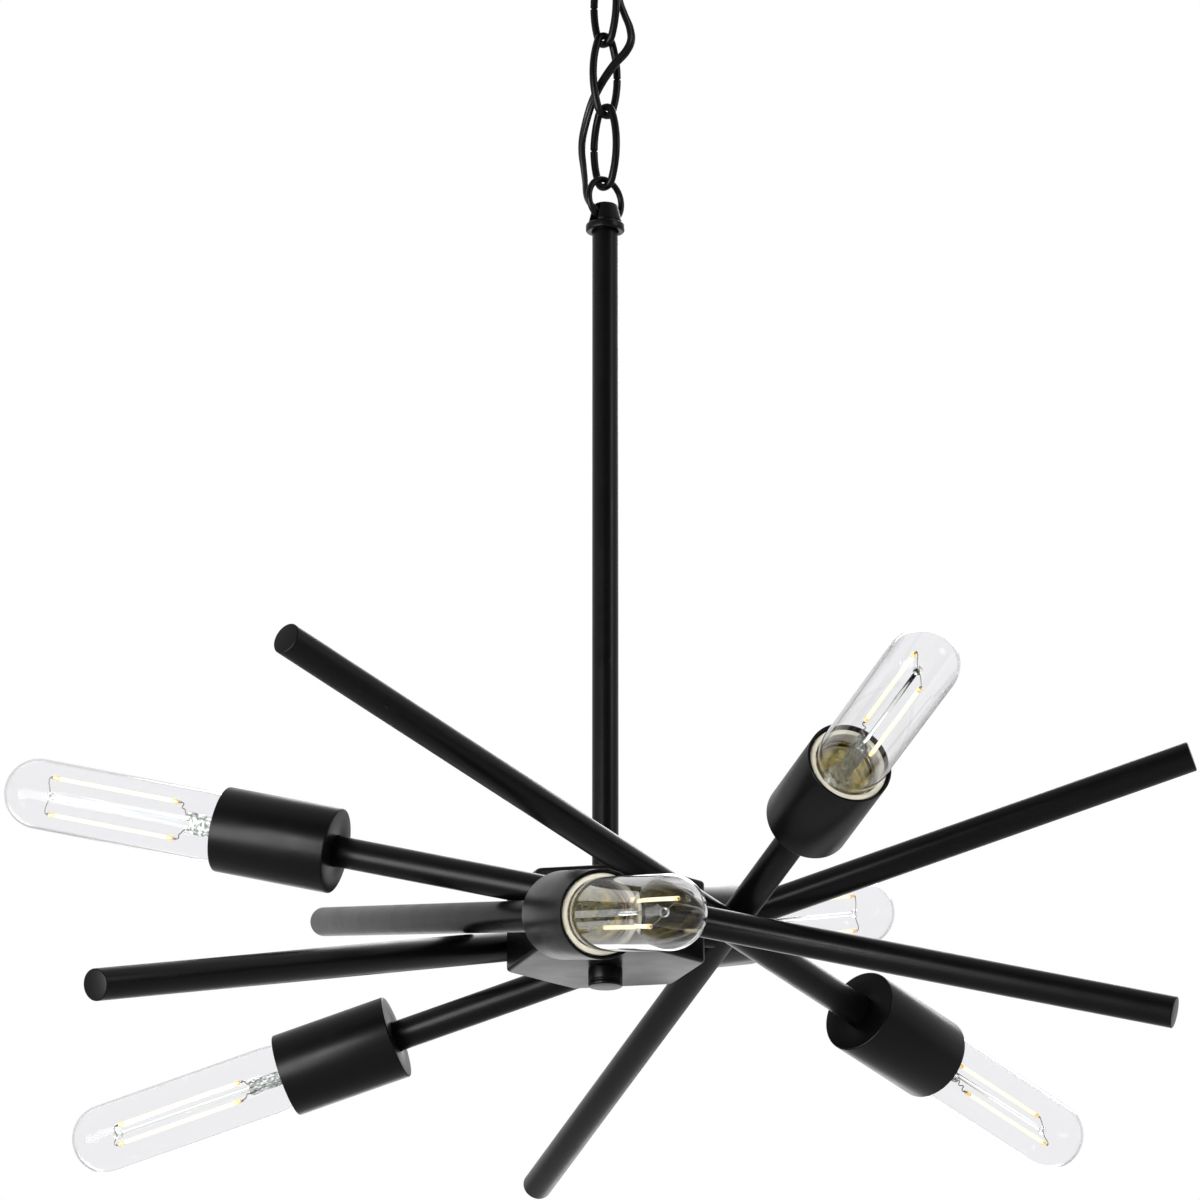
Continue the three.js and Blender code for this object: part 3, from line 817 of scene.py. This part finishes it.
def smooth_route(points, steps):
    """More points on a smooth curve through the given ones, spaced by their distances."""
    padded = [points[0] * 2 - points[1], *points, points[-1] * 2 - points[-2]]
    route = []
    for near in zip(padded, padded[1:], padded[2:], padded[3:]):
        knots = [0.0]
        for start, end in zip(near, near[1:]):
            knots.append(knots[-1] + math.sqrt((end - start).length))
        for step in range(steps):
            time = knots[1] + (knots[2] - knots[1]) * step / steps
            line = near
            for lows, highs in ((knots, knots[1:]), (knots, knots[2:]), (knots[1:2], knots[2:3])):
                line = [
                    start.lerp(end, (time - low) / (high - low))
                    for start, end, low, high in zip(line, line[1:], lows, highs)
                ]
            route.append(line[0])
    route.append(points[-1])
    return route


class CHANDELIER_OT_cord(bpy.types.Operator):
    """Run the flat twin cord down the chain, in stretches that follow its links"""

    bl_idname = "chandelier.cord"
    bl_label = "Cord"

    def execute(self, context):
        route = smooth_route(cord_points(), 6)
        sheath = self.sheath(route)
        heights = [math.inf, *[cut * MM for cut in CORD_CUTS], -math.inf]
        for (name, upper, lower, start, end), high, low in zip(CORD_PARTS, heights, heights[1:]):
            part = welded(shape_of(sheath))
            self.cut(part, high, keep_below=True)
            self.cut(part, low, keep_below=False)
            made = piece(name, part, ["cord_sheath"], None, crease=60)
            path = self.stretch(route, high, low)
            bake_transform(made)
            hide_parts("cord")
        return {"FINISHED"}

    def section(self):
        """The outline of two round cores side by side, as a flat curve."""
        size = sizes()
        radius = size.cord_thickness / 2
        offset = size.cord_width / 2 - radius
        waist = math.acos(min(offset / radius, 1))
        steps = 12
        rim = []
        for side in (1, -1):
            for step in range(steps + 1):
                angle = (step / steps * 2 - 1) * (math.pi - waist)
                across = offset + radius * math.cos(angle)
                rim.append((side * across, side * radius * math.sin(angle), 0, 1))
        section = bpy.data.curves.new("cord_section", "CURVE")
        section.dimensions = "2D"
        edge = section.splines.new("POLY")
        edge.use_cyclic_u = True
        edge.points.add(len(rim) - 1)
        for point, place in zip(edge.points, rim):
            point.co = place
        return placed("cord_section", section)

    def sheath(self, route):
        """The whole cord as one mesh, which twists evenly on its way down."""
        top, bottom = CORD_ROUTE[0][2] * MM, CORD_ROUTE[-1][2] * MM
        curve = bpy.data.curves.new("cord_line", "CURVE")
        curve.dimensions = "3D"
        curve.twist_mode = "MINIMUM"
        curve.bevel_mode = "OBJECT"
        curve.bevel_object = self.section()
        curve.use_fill_caps = True
        line = curve.splines.new("POLY")
        line.points.add(len(route) - 1)
        for point, place in zip(line.points, route):
            point.co = (*place, 1)
            point.tilt = CORD_TWIST * (place.z - top) / (bottom - top)
        mesh = curve_mesh(curve)
        bpy.data.objects.remove(curve.bevel_object)
        return mesh

    def cut(self, part, level, keep_below):
        """Drop what lies past the level and close the end. A level out of reach cuts nothing."""
        if math.isinf(level):
            return
        met = bmesh.ops.bisect_plane(
            part,
            geom=part.verts[:] + part.edges[:] + part.faces[:],
            dist=1e-7,
            plane_co=(0, 0, level),
            plane_no=(0, 0, 1),
            clear_outer=keep_below,
            clear_inner=not keep_below,
        )["geom_cut"]
        bmesh.ops.contextual_create(part, geom=only(bmesh.types.BMEdge, met))

    def stretch(self, route, high, low):
        """The part of the route between two heights, with its ends exactly on them."""
        path = [route[0]] if route[0].z < high else []
        for a, b in zip(route, route[1:]):
            for level in (high, low):
                if a.z > level >= b.z:
                    path.append(a.lerp(b, (a.z - level) / (a.z - b.z)))
            if low < b.z < high:
                path.append(b)
        return path


class CHANDELIER_OT_ceiling_fitting(bpy.types.Operator):
    """Make the canopy, its strap and the collar with its loop"""

    bl_idname = "chandelier.ceiling_fitting"
    bl_label = "Ceiling fitting"

    def execute(self, context):
        size = sizes()
        wall = size.canopy_wall
        low = -size.canopy_depth
        bore = size.nipple_radius + PLAY
        canopy = turned(
            (bore, low),
            (size.canopy_radius, low, size.canopy_bend, 14),
            (size.canopy_radius, 0, EDGE, 2),
            (size.canopy_radius - wall, 0, EDGE, 2),
            (size.canopy_radius - wall, low + wall, size.canopy_bend - wall, 14),
            (bore, low + wall),
            steps=128,
        )
        coated("canopy_cup", canopy, "ceiling", "canopy")
        self.strap()
        base = low - size.collar_height
        radius = size.collar_radius
        wire_way = 3.4 * MM
        groove, notch = low - 2.7 * MM, 0.9 * MM
        collar = turned(
            (wire_way, base, EDGE),
            (radius, base, 1.8 * MM, 5),
            (radius, groove - notch, 0.2 * MM),
            (radius - notch, groove, EDGE),
            (radius, groove + notch, 0.2 * MM),
            (radius, low - PLAY, EDGE),
            (size.nipple_radius, low - PLAY),
            (size.nipple_radius, -PLAY, EDGE),
            (wire_way, -PLAY, 0.2 * MM),
        )
        loop_height = LOOP_LOW + size.loop_radius + size.loop_wire / 2
        loop = moved(wire_ring(size.loop_radius, size.loop_wire), upright(loop_height, CHAIN_TURN))
        coated("collar_loop", joined(collar, loop), "ceiling", "canopy_loop")
        return {"FINISHED"}

    def strap(self):
        """The zinc strap keeps its frame shape, with its finish from here."""
        node = frame["nodes"]["crossbar"]
        node.data.materials.clear()
        node.data.materials.append(finish("zinc_steel"))


class CHANDELIER_OT_chain(bpy.types.Operator):
    """Make the three links and the hanging ring"""

    bl_idname = "chandelier.chain"
    bl_label = "Chain"

    def execute(self, context):
        size = sizes()
        for name, turn in LINK_TURNS:
            low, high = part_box(name)
            link = wire_link(size.link_width, size.link_length, size.link_bend, size.link_wire)
            matrix = upright((low.z + high.z) / 2, CHAIN_TURN + math.radians(turn))
            coated(f"chain_{name}", link, name, name, matrix)
        ring = wire_ring(size.ring_radius, size.ring_wire)
        coated("cap_ring", ring, "hang_ring", "hang_ring", upright(RING_Z, CHAIN_TURN))
        return {"FINISHED"}


class CHANDELIER_OT_stem(bpy.types.Operator):
    """Make the slotted stem cap and the stem"""

    bl_idname = "chandelier.stem"
    bl_label = "Stem"

    def execute(self, context):
        size = sizes()
        foot, rise = size.cap_foot_radius, size.cap_foot_height
        groove, cone, crown = 7.7 * MM, 8.1 * MM, 5.9 * MM
        seat = size.stem_radius + PLAY
        hollow = 5 * MM
        roof = size.cap_height - 2.7 * MM
        cap = turned(
            (seat, 0, 0.2 * MM),
            (foot, 0, 0.9 * MM, 5),
            (foot, rise, 1.1 * MM, 5),
            (groove, rise, EDGE),
            (groove, rise + 1.2 * MM, EDGE),
            (cone, rise + 1.2 * MM, EDGE),
            (crown, size.cap_height, 1.4 * MM, 5),
            (0, size.cap_height),
            (0, roof),
            (hollow, roof),
            (hollow, CAP_SEAT),
            (seat, CAP_SEAT),
        )
        matrix = upright(CAP_LOW, CHAIN_TURN)
        made = coated("stem_top_cap", cap, "fixture", "stem_cap", matrix)
        # The ring's slot on one side and the cord's on the other
        self.slot(made, "ring_slot", 4.4 * MM, 10.8 * MM, 1)
        self.slot(made, "cord_slot", 5.6 * MM, 13.3 * MM, -1)
        # The slots' own edges are marked as well
        shape = shape_of(made.data)
        mark_edges(shape, CREASE)
        shape.to_mesh(made.data)
        shape.free()
        low, top = (corner.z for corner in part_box("stem"))
        radius = size.stem_radius
        stem = turned(
            (radius - TUBE_WALL, low),
            (radius, low),
            (radius, top, EDGE),
            (radius - TUBE_WALL, top, EDGE),
        )
        coated("stem_tube", stem, "fixture", "stem")
        return {"FINISHED"}

    def slot(self, cap, name, width, top, side):
        """Cut a slot with round corners into one side of the cap, from its seat up."""
        reach = 12 * MM
        size = (reach, width, top - CAP_SEAT)
        tool = block(size, (side * reach / 2, 0, (top + CAP_SEAT) / 2))
        rounded(tool, [edge for edge in tool.edges if runs_along(edge, (1, 0, 0))], 1.2 * MM, 5)
        moved(tool, upright(CAP_LOW, CHAIN_TURN))
        bmesh.ops.recalc_face_normals(tool, faces=tool.faces[:])
        cutter = placed(name, mesh_of(tool, name))
        cut = cap.modifiers.new(name, "BOOLEAN")
        cut.operation = "DIFFERENCE"
        cut.object = cutter
        cut.solver = "EXACT"
        result = final_mesh(cap)
        cap.modifiers.clear()
        cap.data = result
        bpy.data.objects.remove(cutter)


class CHANDELIER_OT_hub(bpy.types.Operator):
    """Make the six-sided hub and the knob under it"""

    bl_idname = "chandelier.hub"
    bl_label = "Hub and finial"

    def execute(self, context):
        size = sizes()
        height = HUB_HIGH - HUB_LOW
        first = -Vector(JOINTS["arm_1_swivel"]["axis"])
        turn = math.atan2(first.y, first.x) + math.pi / 6 + HUB_LEAN
        radius = size.hub_across / 2 / math.cos(math.pi / 6)
        hub = bmesh.new()
        bmesh.ops.create_circle(hub, cap_ends=True, segments=6, radius=radius)
        corner = hub.verts[:][0].co
        spin = Matrix.Rotation(turn - math.atan2(corner.y, corner.x), 3, "Z")
        bmesh.ops.rotate(hub, cent=(0, 0, 0), matrix=spin, verts=hub.verts[:])
        raised = bmesh.ops.extrude_face_region(hub, geom=hub.faces[:])["geom"]
        bmesh.ops.translate(hub, vec=(0, 0, height), verts=only(bmesh.types.BMVert, raised))
        for is_corner, rounding in ((True, size.hub_corner), (False, size.hub_edge)):
            edges = [edge for edge in hub.edges if runs_along(edge, (0, 0, 1)) == is_corner]
            rounded(hub, edges, rounding, 6, clamp=True)
        coated("hub_body", hub, "fixture", "hub_shell", upright(HUB_LOW), crease=20)
        coated("finial_knob", self.finial(size), "fixture", "finial")
        return {"FINISHED"}

    def finial(self, size):
        """The knob with two fine grooves, and its stud inside the hub."""
        top = HUB_LOW - PLAY
        base = HUB_LOW - size.finial_length
        radius = size.finial_radius
        stud, stud_length = 3 * MM, 8 * MM
        grooves = []
        for middle in (base + 2.1 * MM, base + 3.1 * MM):
            grooves += [
                (radius, middle - 0.2 * MM, 0.12 * MM, 2),
                (radius - 0.22 * MM, middle),
                (radius, middle + 0.2 * MM, 0.12 * MM, 2),
            ]
        return turned(
            (0, base),
            (radius, base, 0.7 * MM, 5),
            *grooves,
            (radius, top, 0.5 * MM, 4),
            (stud, top),
            (stud, top + stud_length),
            (0, top + stud_length),
            steps=72,
        )


class CHANDELIER_OT_arms(bpy.types.Operator):
    """Make the six rods with the short tubes that carry them"""

    bl_idname = "chandelier.arms"
    bl_label = "Rods and standoffs"

    def execute(self, context):
        for number in ARMS:
            body = f"arm_{number}"
            matrix = arm_matrix(number)
            coated(f"arm_tube_{number}", self.rod(), body, f"rod_{number}", matrix)
            out = matrix @ Matrix.Rotation(math.pi / 2, 4, "Y")
            standoff = self.standoff(number)
            coated(f"arm_standoff_{number}", standoff, body, f"standoff_{number}", out)
        return {"FINISHED"}

    def rod(self):
        size = sizes()
        radius, inner = size.rod_radius, size.rod_radius - TUBE_WALL
        closed_end = -size.rod_reach
        open_end = size.cup_back + 6.7 * MM
        return turned(
            (0, closed_end),
            (radius, closed_end, 0.6 * MM, 4),
            (radius, open_end, EDGE, 2),
            (inner, open_end, EDGE, 2),
            (inner, closed_end + TUBE_WALL),
            (0, closed_end + TUBE_WALL),
        )

    def standoff(self, number):
        """The short tube from inside the hub's face to inside the rod, from the rod's pivot."""
        size = sizes()
        pivot = Vector(JOINTS[f"arm_{number}_swivel"]["pos_m"]).to_2d().length
        face = size.hub_across / 2 - pivot
        radius, spigot, bore = size.standoff_radius, 4.4 * MM, 2.6 * MM
        return turned(
            (bore, face - 8 * MM),
            (spigot, face - 8 * MM, 0.4 * MM),
            (spigot, face + PLAY),
            (radius, face + PLAY, 0.4 * MM, 3),
            (radius, -4 * MM),
            (bore, -4 * MM),
            steps=48,
        )


class CHANDELIER_OT_lampholders(bpy.types.Operator):
    """Make the six lamp cups with their ivory lampholders and threaded shells"""

    bl_idname = "chandelier.lampholders"
    bl_label = "Cups and lampholders"

    def execute(self, context):
        for number in ARMS:
            arm_pieces(
                number,
                "arm",
                arm_matrix(number),
                ("lamp_cup", self.cup(), ["black_coat"], "cup", "black_coat", CREASE),
                ("holder", self.holder(), ["ivory"], "lampholder", "ivory", CREASE),
                ("thread_shell", self.shell(), ["brass"], "screw_shell", "brass", THREAD_CREASE),
            )
        return {"FINISHED"}

    def cup(self):
        size = sizes()
        radius, inner = size.cup_radius, size.cup_radius - size.cup_wall
        back, mouth = size.cup_back, size.cup_mouth
        floor = back + 2.2 * MM
        bore = size.rod_radius + PLAY
        return turned(
            (bore, back, 0.2 * MM, 2),
            (radius, back, 0.8 * MM, 5),
            (radius, mouth, 0.35 * MM, 3),
            (inner, mouth, 0.35 * MM, 3),
            (inner, floor),
            (bore, floor),
            steps=96,
        )

    def holder(self):
        lamp = lamp_sizes()
        outer, bore = lamp.holder_radius, lamp.holder_bore
        base, top = lamp.holder_base, lamp.holder_top
        floor = lamp.shell_base - PLAY
        contact, contact_top = 2.5 * MM, lamp.base_start - PLAY
        return turned(
            (0, base),
            (outer, base, 0.6 * MM),
            (outer, top, 0.7 * MM, 4),
            (bore, top, 0.6 * MM, 4),
            (bore, floor),
            (contact, floor),
            (contact, contact_top, 0.5 * MM),
            (0, contact_top),
            steps=80,
        )

    def shell(self):
        lamp = lamp_sizes()
        outer, wall = lamp.shell_radius, 0.5 * MM
        base, top = lamp.shell_base, lamp.shell_base + lamp.shell_length
        floor_bore = 6.5 * MM
        rings = []
        for turn in range(int((lamp.shell_length - 5 * MM) / lamp.thread_pitch)):
            crest = base + 3 * MM + turn * lamp.thread_pitch
            rings.append((outer, crest, 0.7 * MM, 2))
            rings.append((outer - 0.35 * MM, crest + lamp.thread_pitch / 2, 0.7 * MM, 2))
        lining = [(radius - wall, height, *rest) for radius, height, *rest in reversed(rings)]
        return turned(
            (floor_bore, base),
            (outer, base, 0.4 * MM),
            *rings,
            (outer, top - 1 * MM, 0.3 * MM),
            (outer + 0.25 * MM, top, 0.2 * MM),
            (outer - wall, top, 0.2 * MM),
            *lining,
            (outer - wall, base + wall, 0.1 * MM),
            (floor_bore, base + wall),
        )


class CHANDELIER_OT_lamps(bpy.types.Operator):
    """Make the six lamps: screw base, glass, glass foot, wires and two filaments"""

    bl_idname = "chandelier.lamps"
    bl_label = "Lamps"

    def execute(self, context):
        # The finishes of each piece, in the order of the numbers that its faces have
        screw = ("brass", "insulator", "cement")
        tube = ("clear_glass", "cement")
        mount = ("mount_glass", "support_wire", "pressed_glass")
        light = ("filament_glow", "filament_tail", "support_wire")
        for number in ARMS:
            arm_pieces(
                number,
                "bulb",
                lamp_matrix(number),
                ("lamp_base", self.base(), screw, "bulb_base", "brass", THREAD_CREASE),
                ("lamp_glass", self.glass(), tube, "bulb_glass", "clear_glass", CREASE),
                ("lamp_mount", self.mount(), mount, None, "clear_glass", CREASE),
                ("lamp_filaments", self.filaments(), light, "bulb_filament", "filament", CREASE),
            )
        return {"FINISHED"}

    def base(self):
        """The screw base with its black ring and contact. Its inside faces are cement."""
        lamp = lamp_sizes()
        start = lamp.base_start
        radius = lamp.base_radius
        inner = radius - 0.45 * MM
        root = radius - lamp.thread_depth
        skirt = start + 6 * MM
        floor = skirt + 9 * MM
        top = start + lamp.base_length
        rings = []
        for turn in range(4):
            crest = skirt + (turn + 0.5) * lamp.thread_pitch
            rings.append((radius, crest, 0.8 * MM, 3))
            rings.append((root, crest + lamp.thread_pitch / 2, 0.8 * MM, 3))
        metal = turned(
            (0, skirt + 2 * MM),
            (8.6 * MM, skirt - 2.4 * MM),
            (root, skirt, 0.6 * MM, 3),
            *rings,
            (radius, top - 4.5 * MM, 0.4 * MM),
            (radius, top, 0.2 * MM),
            (inner, top, 0.2 * MM),
            (inner, floor),
            (0, floor),
            steps=72,
        )
        # The inside faces take the cement finish, with its painted glow
        for face in metal.faces:
            middle = face.calc_center_median()
            if middle.to_2d().length < inner + 0.05 * MM and middle.z > floor - 0.5 * MM:
                face.material_index = 2
        contact, contact_top = 4.2 * MM, start + 1.6 * MM
        button = turned(
            (0, start),
            (contact, start, 0.7 * MM),
            (contact, contact_top),
            (0, contact_top),
            steps=48,
        )
        ring_in, ring_out, ring_top = 4 * MM, 8.8 * MM, skirt - 2 * MM
        ring = turned(
            (ring_in, start + 1 * MM, 0.3 * MM),
            (ring_out, skirt - 2.6 * MM, 0.4 * MM),
            (ring_out, ring_top),
            (ring_in, ring_top),
            steps=48,
        )
        return joined(metal, button, painted(ring, 1))

    def glass(self):
        """The clear tube with its stepped neck, in the cement's colour below its shoulder."""
        lamp = lamp_sizes()
        radius, neck, wall = lamp.glass_radius, lamp.neck_radius, lamp.glass_wall
        tip = lamp.tip
        # The tip is a dome: its rounding takes up nearly the whole radius
        almost = 0.999
        tube = turned(
            (0, tip),
            (radius, tip, radius * almost, 20),
            (radius, lamp.wall_start, 4 * MM, 8),
            (lamp.bulge_radius, lamp.bulge, 3 * MM, 6),
            (neck, lamp.shoulder, 3 * MM, 6),
            (neck, lamp.neck_start, 0.4 * MM, 3),
            (neck - wall, lamp.neck_start, 0.4 * MM, 3),
            (neck - wall, lamp.shoulder + wall / 2, 3 * MM, 6),
            (lamp.bulge_radius - wall, lamp.bulge + wall / 2, 3 * MM, 6),
            (radius - wall, lamp.wall_start + wall / 2, 4 * MM, 8),
            (radius - wall, tip - wall, (radius - wall) * almost, 20),
            (0, tip - wall),
            steps=128,
        )
        # Below the shoulder the glass takes the cement finish, with its painted glow
        for face in tube.faces:
            if face.calc_center_median().z < lamp.shoulder - 1 * MM:
                face.material_index = 1
        return tube

    def mount(self):
        """The flared foot, its flat press, the centre rod with its bead, and the wires."""
        lamp = lamp_sizes()
        foot = lamp.neck_start + 0.3 * MM
        low, top = lamp.press_start, lamp.press_end
        near, far = lamp.filament_near, lamp.filament_far
        spread = lamp.filament_spread / 2
        flare = turned(
            (0, foot),
            (7.6 * MM, foot, 0.4 * MM),
            (4.6 * MM, foot + 6 * MM, 4 * MM, 5),
            (3.6 * MM, low + 1 * MM, 1 * MM),
            (0, low + 1 * MM),
            steps=40,
        )
        rod = strip((0, 0, top - 2 * MM), (0, 0, far), 1 * MM, 16)
        bead = bmesh.new()
        bmesh.ops.create_uvsphere(bead, u_segments=20, v_segments=12, radius=lamp.bead_radius)
        bmesh.ops.scale(bead, vec=(1, 1, 1.15), verts=bead.verts[:])
        bmesh.ops.translate(bead, vec=(0, 0, far), verts=bead.verts[:])
        lead = (
            (2.2 * MM, 0, low + 3 * MM),
            (3.4 * MM, 0.5 * MM, top - 3 * MM),
            (4.2 * MM, -0.5 * MM, top + 0.6 * MM),
            (5.6 * MM, 0.8 * MM, top + 1.2 * MM),
            (6.6 * MM, -0.7 * MM, top + 2.6 * MM),
            (spread - 0.5 * MM, 0.4 * MM, near - 2.6 * MM),
            (spread, 0, near + 0.5 * MM),
        )
        hook = (
            (0, 0, far + 0.4 * MM),
            (3.5 * MM, 0.25 * MM, far + 1.3 * MM),
            (spread - 1.4 * MM, -0.2 * MM, far + 2.1 * MM),
            (spread, 0, far + 1.5 * MM),
            (spread, 0, far - 0.5 * MM),
        )
        wires = [
            painted(bent_wire([(side * x, side * y, z) for x, y, z in points], radius), 1)
            for side in (-1, 1)
            for points, radius in ((lead, 0.26 * MM), (hook, 0.2 * MM))
        ]
        return joined(painted(flare, 2), painted(self.press(low, top), 2), rod, bead, *wires)

    def press(self, low, top):
        """The flat press, with the waves that the tongs leave in the soft glass."""
        shape = block((10.5 * MM, 3.6 * MM, top - low), (0, 0, (top + low) / 2))
        bmesh.ops.subdivide_edges(shape, edges=shape.edges[:], cuts=11, use_grid_fill=True)
        for vert in shape.verts:
            share = (vert.co.z - low) / (top - low)
            swell = 0.3 * math.sin(share * math.pi * 0.62)
            ripple = 0.05 * math.sin(share * 23)
            vert.co.x *= 0.72 + swell + ripple
            wave = 0.3 * math.cos(share * 15 + vert.co.x / MM * 1.3)
            vert.co.y *= 0.7 + wave
        for _ in range(2):
            bmesh.ops.smooth_vert(
                shape,
                verts=shape.verts[:],
                factor=0.5,
                use_axis_x=True,
                use_axis_y=True,
                use_axis_z=True,
            )
        return shape

    def filaments(self):
        """Two coated strips with golden ends and short dark stubs."""
        lamp = lamp_sizes()
        near, far, tail = lamp.filament_near, lamp.filament_far, lamp.filament_tail
        radius, overlap = lamp.filament_radius, 0.2 * MM
        bars = (
            (near + tail, far - tail, radius, 16, 0),
            (near, near + tail + overlap, radius * 1.12, 16, 1),
            (far - tail - overlap, far, radius * 1.12, 16, 1),
            (near - 1.6 * MM, near, radius * 0.55, 12, 2),
            (far, far + 1.2 * MM, radius * 0.55, 12, 2),
        )
        shapes = []
        for at in (-lamp.filament_spread / 2, lamp.filament_spread / 2):
            for start, end, thickness, steps, index in bars:
                shapes.append(painted(strip((at, 0, start), (at, 0, end), thickness, steps), index))
        return joined(*shapes)


class CHANDELIER_OT_studio(bpy.types.Operator):
    """Set the pale floor, the even surround and the soft lights"""

    bl_idname = "chandelier.studio"
    bl_label = "Studio"

    # Name, place, width, height and power. The gloss panel only shows in what shines.
    LIGHTS = (
        ("key", (-1.55, -2.75, -0.25), 0.65, 0.65, 50),
        ("gloss", (-2.25, -1.9, -0.95), 2.4, 1.3, 190),
        ("fill", (2.6, -1.4, 0.9), 0.9, 0.9, 25),
        ("back", (0.6, 2.6, 1.4), 1.6, 1.6, 30),
        ("low_back", (0, 3.6, -1.35), 1.6, 1.6, 14),
    )
    AIM = Vector((0, 0, -0.5))

    def execute(self, context):
        studio = settings().studio
        self.floor(studio)
        for name, place, width, height, power in self.LIGHTS:
            light = bpy.data.lights.new(name, "AREA")
            light.shape = "RECTANGLE"
            light.size = width
            light.size_y = height
            light.energy = power
            panel = placed(name, light)
            panel.location = place
            panel.rotation_euler = (self.AIM - panel.location).to_track_quat("-Z", "Y").to_euler()
            panel.visible_camera = False
            panel.visible_diffuse = name != "gloss"
        self.surround(context, studio)
        context.scene.view_settings.view_transform = "Standard"
        return {"FINISHED"}

    def floor(self, studio):
        floor = bmesh.new()
        bmesh.ops.create_grid(floor, x_segments=1, y_segments=1, size=30)
        bmesh.ops.translate(floor, vec=(0, 0, studio.floor_height), verts=floor.verts[:])
        ground = Finish("floor", Roughness=0.9)
        pale = studio.floor_colour
        ground.colour(ground.noise(3), pale, [0.98 * channel for channel in pale])
        made = piece("floor", floor, (), None)
        made.data.materials.append(ground.material)

    def surround(self, context, studio):
        """White to the camera and in gloss and glass, and an even soft light to the rest."""
        world = bpy.data.worlds.new("surround")
        context.scene.world = world
        world.use_nodes = True
        tree = world.node_tree
        rays = tree.nodes.new("ShaderNodeLightPath").outputs

        def maths(operation, first, second):
            links = [(0, first), (1, second)]
            return add_node(tree, "ShaderNodeMath", links, operation=operation).outputs["Value"]

        mirrored = maths("MAXIMUM", rays["Is Glossy Ray"], rays["Is Transmission Ray"])
        seen = maths("MAXIMUM", rays["Is Camera Ray"], mirrored)
        levels = {"To_Min": studio.surround, "To_Max": 1}
        strength = add_node(tree, "ShaderNodeMapRange", [("Value", seen)], **levels)
        # Gloss and glass see a darker surround behind the camera, as in a studio
        place = tree.nodes.new("ShaderNodeTexCoord").outputs["Generated"]
        way = add_node(tree, "ShaderNodeSeparateXYZ", [("Vector", place)])
        fade = add_node(
            tree,
            "ShaderNodeMapRange",
            [("Value", way.outputs["Y"])],
            interpolation_type="SMOOTHSTEP",
            From_Min=-0.8,
            From_Max=-0.25,
            To_Min=0.12,
            To_Max=1,
        )
        links = [("Factor", mirrored), ("B", fade.outputs["Result"])]
        dimmed = add_node(tree, "ShaderNodeMix", links, A=1).outputs["Result"]
        background = tree.nodes["Background"]
        background.inputs["Color"].default_value = (1, 1, 1, 1)
        level = maths("MULTIPLY", strength.outputs["Result"], dimmed)
        tree.links.new(level, background.inputs["Strength"])


class ChandelierSettings(bpy.types.PropertyGroup):
    """All settings of the chandelier"""

    sizes: PointerProperty(type=ChandelierSizes, name="Sizes", description="Metal pieces")
    lamp: PointerProperty(type=LampSizes, name="Lamp", description="Lampholder and lamp")
    finishes: PointerProperty(type=ChandelierFinishes, name="Finishes", description="Colours")
    studio: PointerProperty(type=StudioSettings, name="Studio", description="Camera and lights")


STEPS = (
    CHANDELIER_OT_camera,
    CHANDELIER_OT_cord,
    CHANDELIER_OT_ceiling_fitting,
    CHANDELIER_OT_chain,
    CHANDELIER_OT_stem,
    CHANDELIER_OT_hub,
    CHANDELIER_OT_arms,
    CHANDELIER_OT_lampholders,
    CHANDELIER_OT_lamps,
    CHANDELIER_OT_studio,
)


class CHANDELIER_PT_panel(bpy.types.Panel):
    """Lists the chandelier's steps and settings"""

    bl_idname = "CHANDELIER_PT_panel"
    bl_label = "Chandelier"
    bl_space_type = "VIEW_3D"
    bl_region_type = "UI"
    bl_category = "Chandelier"

    def draw(self, context):
        layout = self.layout
        for step in STEPS:
            layout.operator(step.bl_idname)
        chosen = context.scene.chandelier
        for group in (chosen.sizes, chosen.lamp, chosen.finishes, chosen.studio):
            box = layout.box()
            for name in group.__annotations__:
                box.prop(group, name)


CLASSES = (
    ChandelierSizes,
    LampSizes,
    ChandelierFinishes,
    StudioSettings,
    ChandelierSettings,
    *STEPS,
    CHANDELIER_PT_panel,
)


def register():
    for made in CLASSES:
        bpy.utils.register_class(made)
    bpy.types.Scene.chandelier = PointerProperty(
        type=ChandelierSettings, name="Chandelier", description="Settings of the chandelier"
    )


def unregister():
    del bpy.types.Scene.chandelier
    for made in reversed(CLASSES):
        bpy.utils.unregister_class(made)


def main():
    register()
    bpy.ops.chandelier.camera()
    bpy.ops.chandelier.cord()
    bpy.ops.chandelier.ceiling_fitting()
    bpy.ops.chandelier.chain()
    bpy.ops.chandelier.stem()
    bpy.ops.chandelier.hub()
    bpy.ops.chandelier.arms()
    bpy.ops.chandelier.lampholders()
    bpy.ops.chandelier.lamps()
    bpy.ops.chandelier.studio()


if __name__ == "__main__":
    main()
